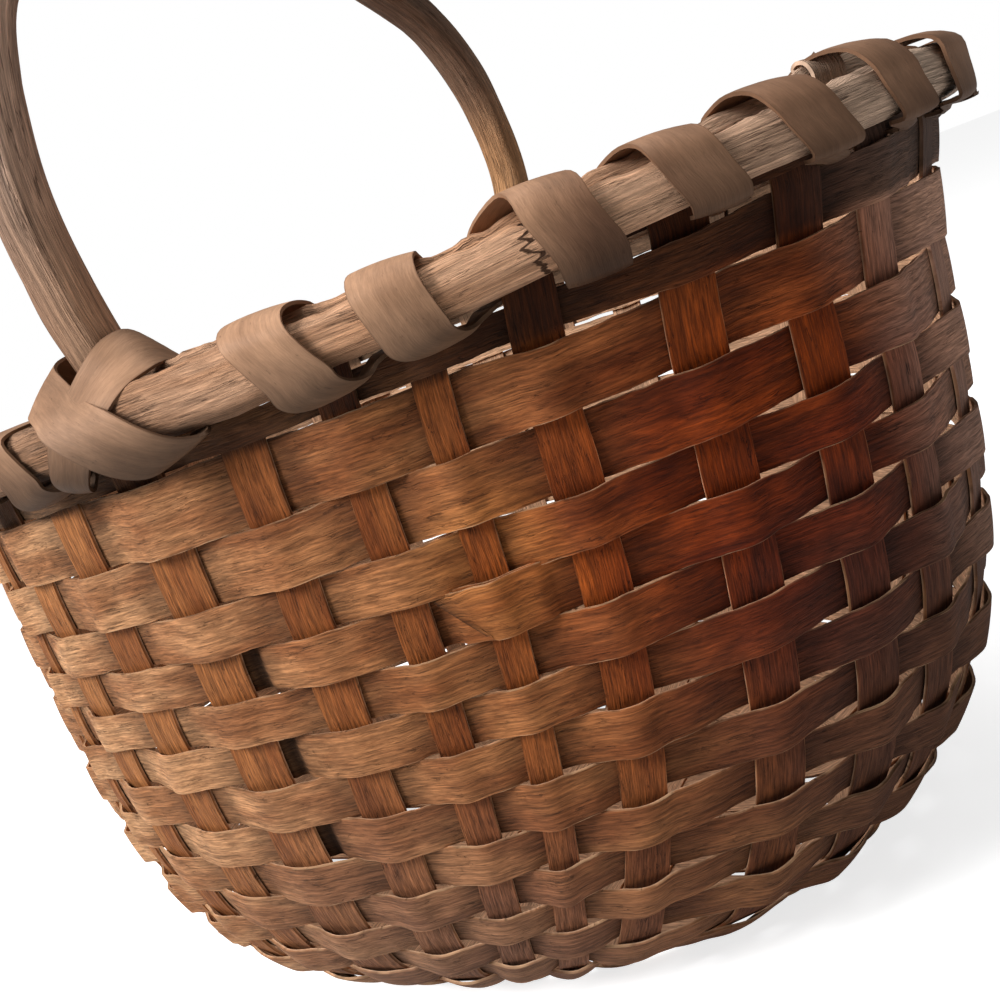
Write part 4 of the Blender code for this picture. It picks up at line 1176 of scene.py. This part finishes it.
def lashing_finish(name):
    """Thin split ash, rubbed smooth, darker along its edges and towards the right, with painted shade low on
    its turns and over one turn.
    """
    wood = Wood(name, (0.41, 0.23, 0.134))
    tone = wood.noise((22, 40, 13), 3, 0.6)
    cloud = wood.noise((80, 130, 37), 4, 0.6)
    streak = wood.spots((60, 620, 19))
    thread = wood.spots((300, 2000, 23), detail=2)
    speck = wood.spots((260, 600, 31), 0.66, 0.76, 2, 0.7)
    wood.tint(wood.step(tone, 0.35, 0.65), (0.285, 0.154, 0.087))
    wood.brighten(wood.step(wood.x, 0.0, 0.07, 0.88, 1.2))
    # Painted shade over one turn
    wood.tint(wood.near(PAINTED_SHADE_TURN, 0.01, 0.032) * 0.85, (0.12, 0.052, 0.028))
    wood.tint(wood.step(wood.x, 0.14, 0.24) * 0.65, (0.19, 0.098, 0.058))
    wood.brighten((0.7 + cloud * 0.6) * (0.9 + streak * 0.2) * (0.92 + thread * 0.14))
    wood.tint(speck * 0.35, (0.07, 0.035, 0.02))
    wood.tint(wood.step(wood.from_edge(), 0.0, 0.1, 0.5, 0.0), (0.15, 0.075, 0.04))
    # Painted shade on the lower part of each turn
    wood.brighten(wood.step(wood.z, 0.265, 0.291, 0.28, 1.0))
    return wood.done(0.46 + tone * 0.2, streak * 0.3 + thread * 0.4 - speck * 0.3, 0.25, 0.0004)


def handle_finish(name):
    """Carved oak, cracked along the grain, with painted light on the right side of its near arm."""
    wood = Wood(name, (0.4, 0.232, 0.142))
    tone = wood.noise((8, 60, 60), 2, 0.6)
    band = wood.spots((18, 520, 520), bend=0.3)
    fibre = wood.spots((80, 1900, 1900))
    crack = wood.lines((16, 480, 480), 3, 0.55, 0.4, 0.003, 0.02) * wood.step(tone, 0.45, 0.6)
    wood.tint(wood.step(tone, 0.35, 0.65), (0.3, 0.166, 0.1))
    wood.patch(HANDLE_PATCHES)
    # Painted light on the right side of the near arm
    near_arm_painted_light = wood.step(wood.y, -0.13, -0.1, 0.8, 0.0)
    wood.brighten(1 + wood.step(wood.x, 0.006, 0.01) * near_arm_painted_light)
    wood.brighten((0.66 + band * 0.52) * (0.7 + fibre * 0.54))
    wood.tint(crack * 0.7, (0.045, 0.022, 0.012))
    return wood.done(0.56 + band * 0.2, band * 0.5 + fibre * 0.5 - crack, 0.7, 0.001)


# Floor, light and camera

FLOOR_DROP = 0.0008
FLOOR_GLOW = 0.75  # lifts the paper to white for the camera alone
SKY_LIGHT = 0.2  # the sky's strength where the camera doesn't see it
MIDDLE_OF_VIEW = (0.0, 0.0, 0.18)
CAMERA_PLACE = (0.3266, -0.4291, 0.2819)
CAMERA_SWING, CAMERA_PITCH, CAMERA_ROLL = 0.5988, 0.198, 0.3396
CAMERA_TILT = (0.0256, -0.0419, 0)
CAMERA_LENS = 40.19


def add_floor():
    bpy.ops.object.select_all(action="DESELECT")
    bpy.ops.mesh.primitive_plane_add(size=14, location=(0, 0, -FLOOR_DROP))
    floor = bpy.context.object
    floor.name = "floor"
    bpy.ops.object.transform_apply(location=True, rotation=True, scale=True)
    paper = bpy.data.materials.new("floor_paper")
    finish = Finish(paper)
    plain = finish.tree.nodes["Principled BSDF"]
    finish.fill(plain, {"Base Color": (0.72, 0.72, 0.72), "Roughness": 0.95})
    glow = finish.node("Emission", {"Strength": finish.seen_by_camera() * FLOOR_GLOW})
    total = finish.node("AddShader", {0: plain.outputs[0], 1: glow})
    finish.fill(finish.tree.nodes["Material Output"], {"Surface": total})
    floor.data.materials.append(paper)


def add_world():
    world = bpy.data.worlds.new("studio")
    bpy.context.scene.world = world
    finish = Finish(world)
    strength = finish.seen_by_camera() * (1.0 - SKY_LIGHT) + SKY_LIGHT
    finish.fill(finish.tree.nodes["Background"], {"Color": (1.0, 1.0, 1.0), "Strength": strength})


def add_lamp(name, place, size, power):
    light = bpy.data.lights.new(name, "AREA")
    light.size = size
    light.energy = power
    lamp = bpy.data.objects.new(name, light)
    bpy.context.scene.collection.objects.link(lamp)
    lamp.location = place
    lamp.rotation_euler = (Vector(MIDDLE_OF_VIEW) - Vector(place)).to_track_quat("-Z", "Y").to_euler()


def add_camera():
    swing_sine, swing_cosine = math.sin(CAMERA_SWING), math.cos(CAMERA_SWING)
    pitch_sine, pitch_cosine = math.sin(CAMERA_PITCH), math.cos(CAMERA_PITCH)
    forward = Vector((-swing_sine * pitch_cosine, swing_cosine * pitch_cosine, -pitch_sine))
    level = Vector((swing_cosine, swing_sine, 0))
    above = Vector((-swing_sine * pitch_sine, swing_cosine * pitch_sine, pitch_cosine))
    forward, level, above = (axis - Vector(CAMERA_TILT).cross(axis) for axis in (forward, level, above))
    right = math.cos(CAMERA_ROLL) * level - math.sin(CAMERA_ROLL) * above
    up = math.sin(CAMERA_ROLL) * level + math.cos(CAMERA_ROLL) * above
    turned = Matrix((right, up, -forward)).transposed()
    lens = bpy.data.cameras.new("camera")
    lens.sensor_width = 36.0
    lens.lens = CAMERA_LENS
    lens.clip_start = 0.01
    camera = bpy.data.objects.new("camera", lens)
    bpy.context.scene.collection.objects.link(camera)
    camera.matrix_world = Matrix.Translation(CAMERA_PLACE) @ turned.to_4x4()
    bpy.context.scene.camera = camera


def main():
    weaver = splint_finish("weaver_ash", light=(0.53, 0.28, 0.136), dark=(0.32, 0.138, 0.058),
                           brown=(0.165, 0.062, 0.024), pale=(0.52, 0.32, 0.18), seams=0.5,
                           edge_width=0.05, ruddy_tint=(0.58, 0.21, 0.026))
    stake = splint_finish("stake_ash", light=(0.36, 0.142, 0.046), dark=(0.245, 0.084, 0.025),
                          brown=(0.13, 0.04, 0.011), pale=(0.38, 0.18, 0.08), seams=0.65,
                          edge_width=0.03, ruddy_tint=(0.95, 0.5, 0.06))
    riven = hoop_finish("hoop_oak")
    add_weavers(weaver)
    add_stakes(stake)
    add_hoops(riven)
    add_handle(handle_finish("handle_oak"))
    add_lashings(lashing_finish("lashing_ash"), riven)
    add_floor()
    add_world()
    add_lamp("key_light", (-0.95, -1.45, 1.45), 0.9, 54)
    add_lamp("top_light", (-0.1, 0.1, 2.1), 1.2, 18)
    add_camera()
    bpy.context.scene.view_settings.view_transform = "Standard"


main()
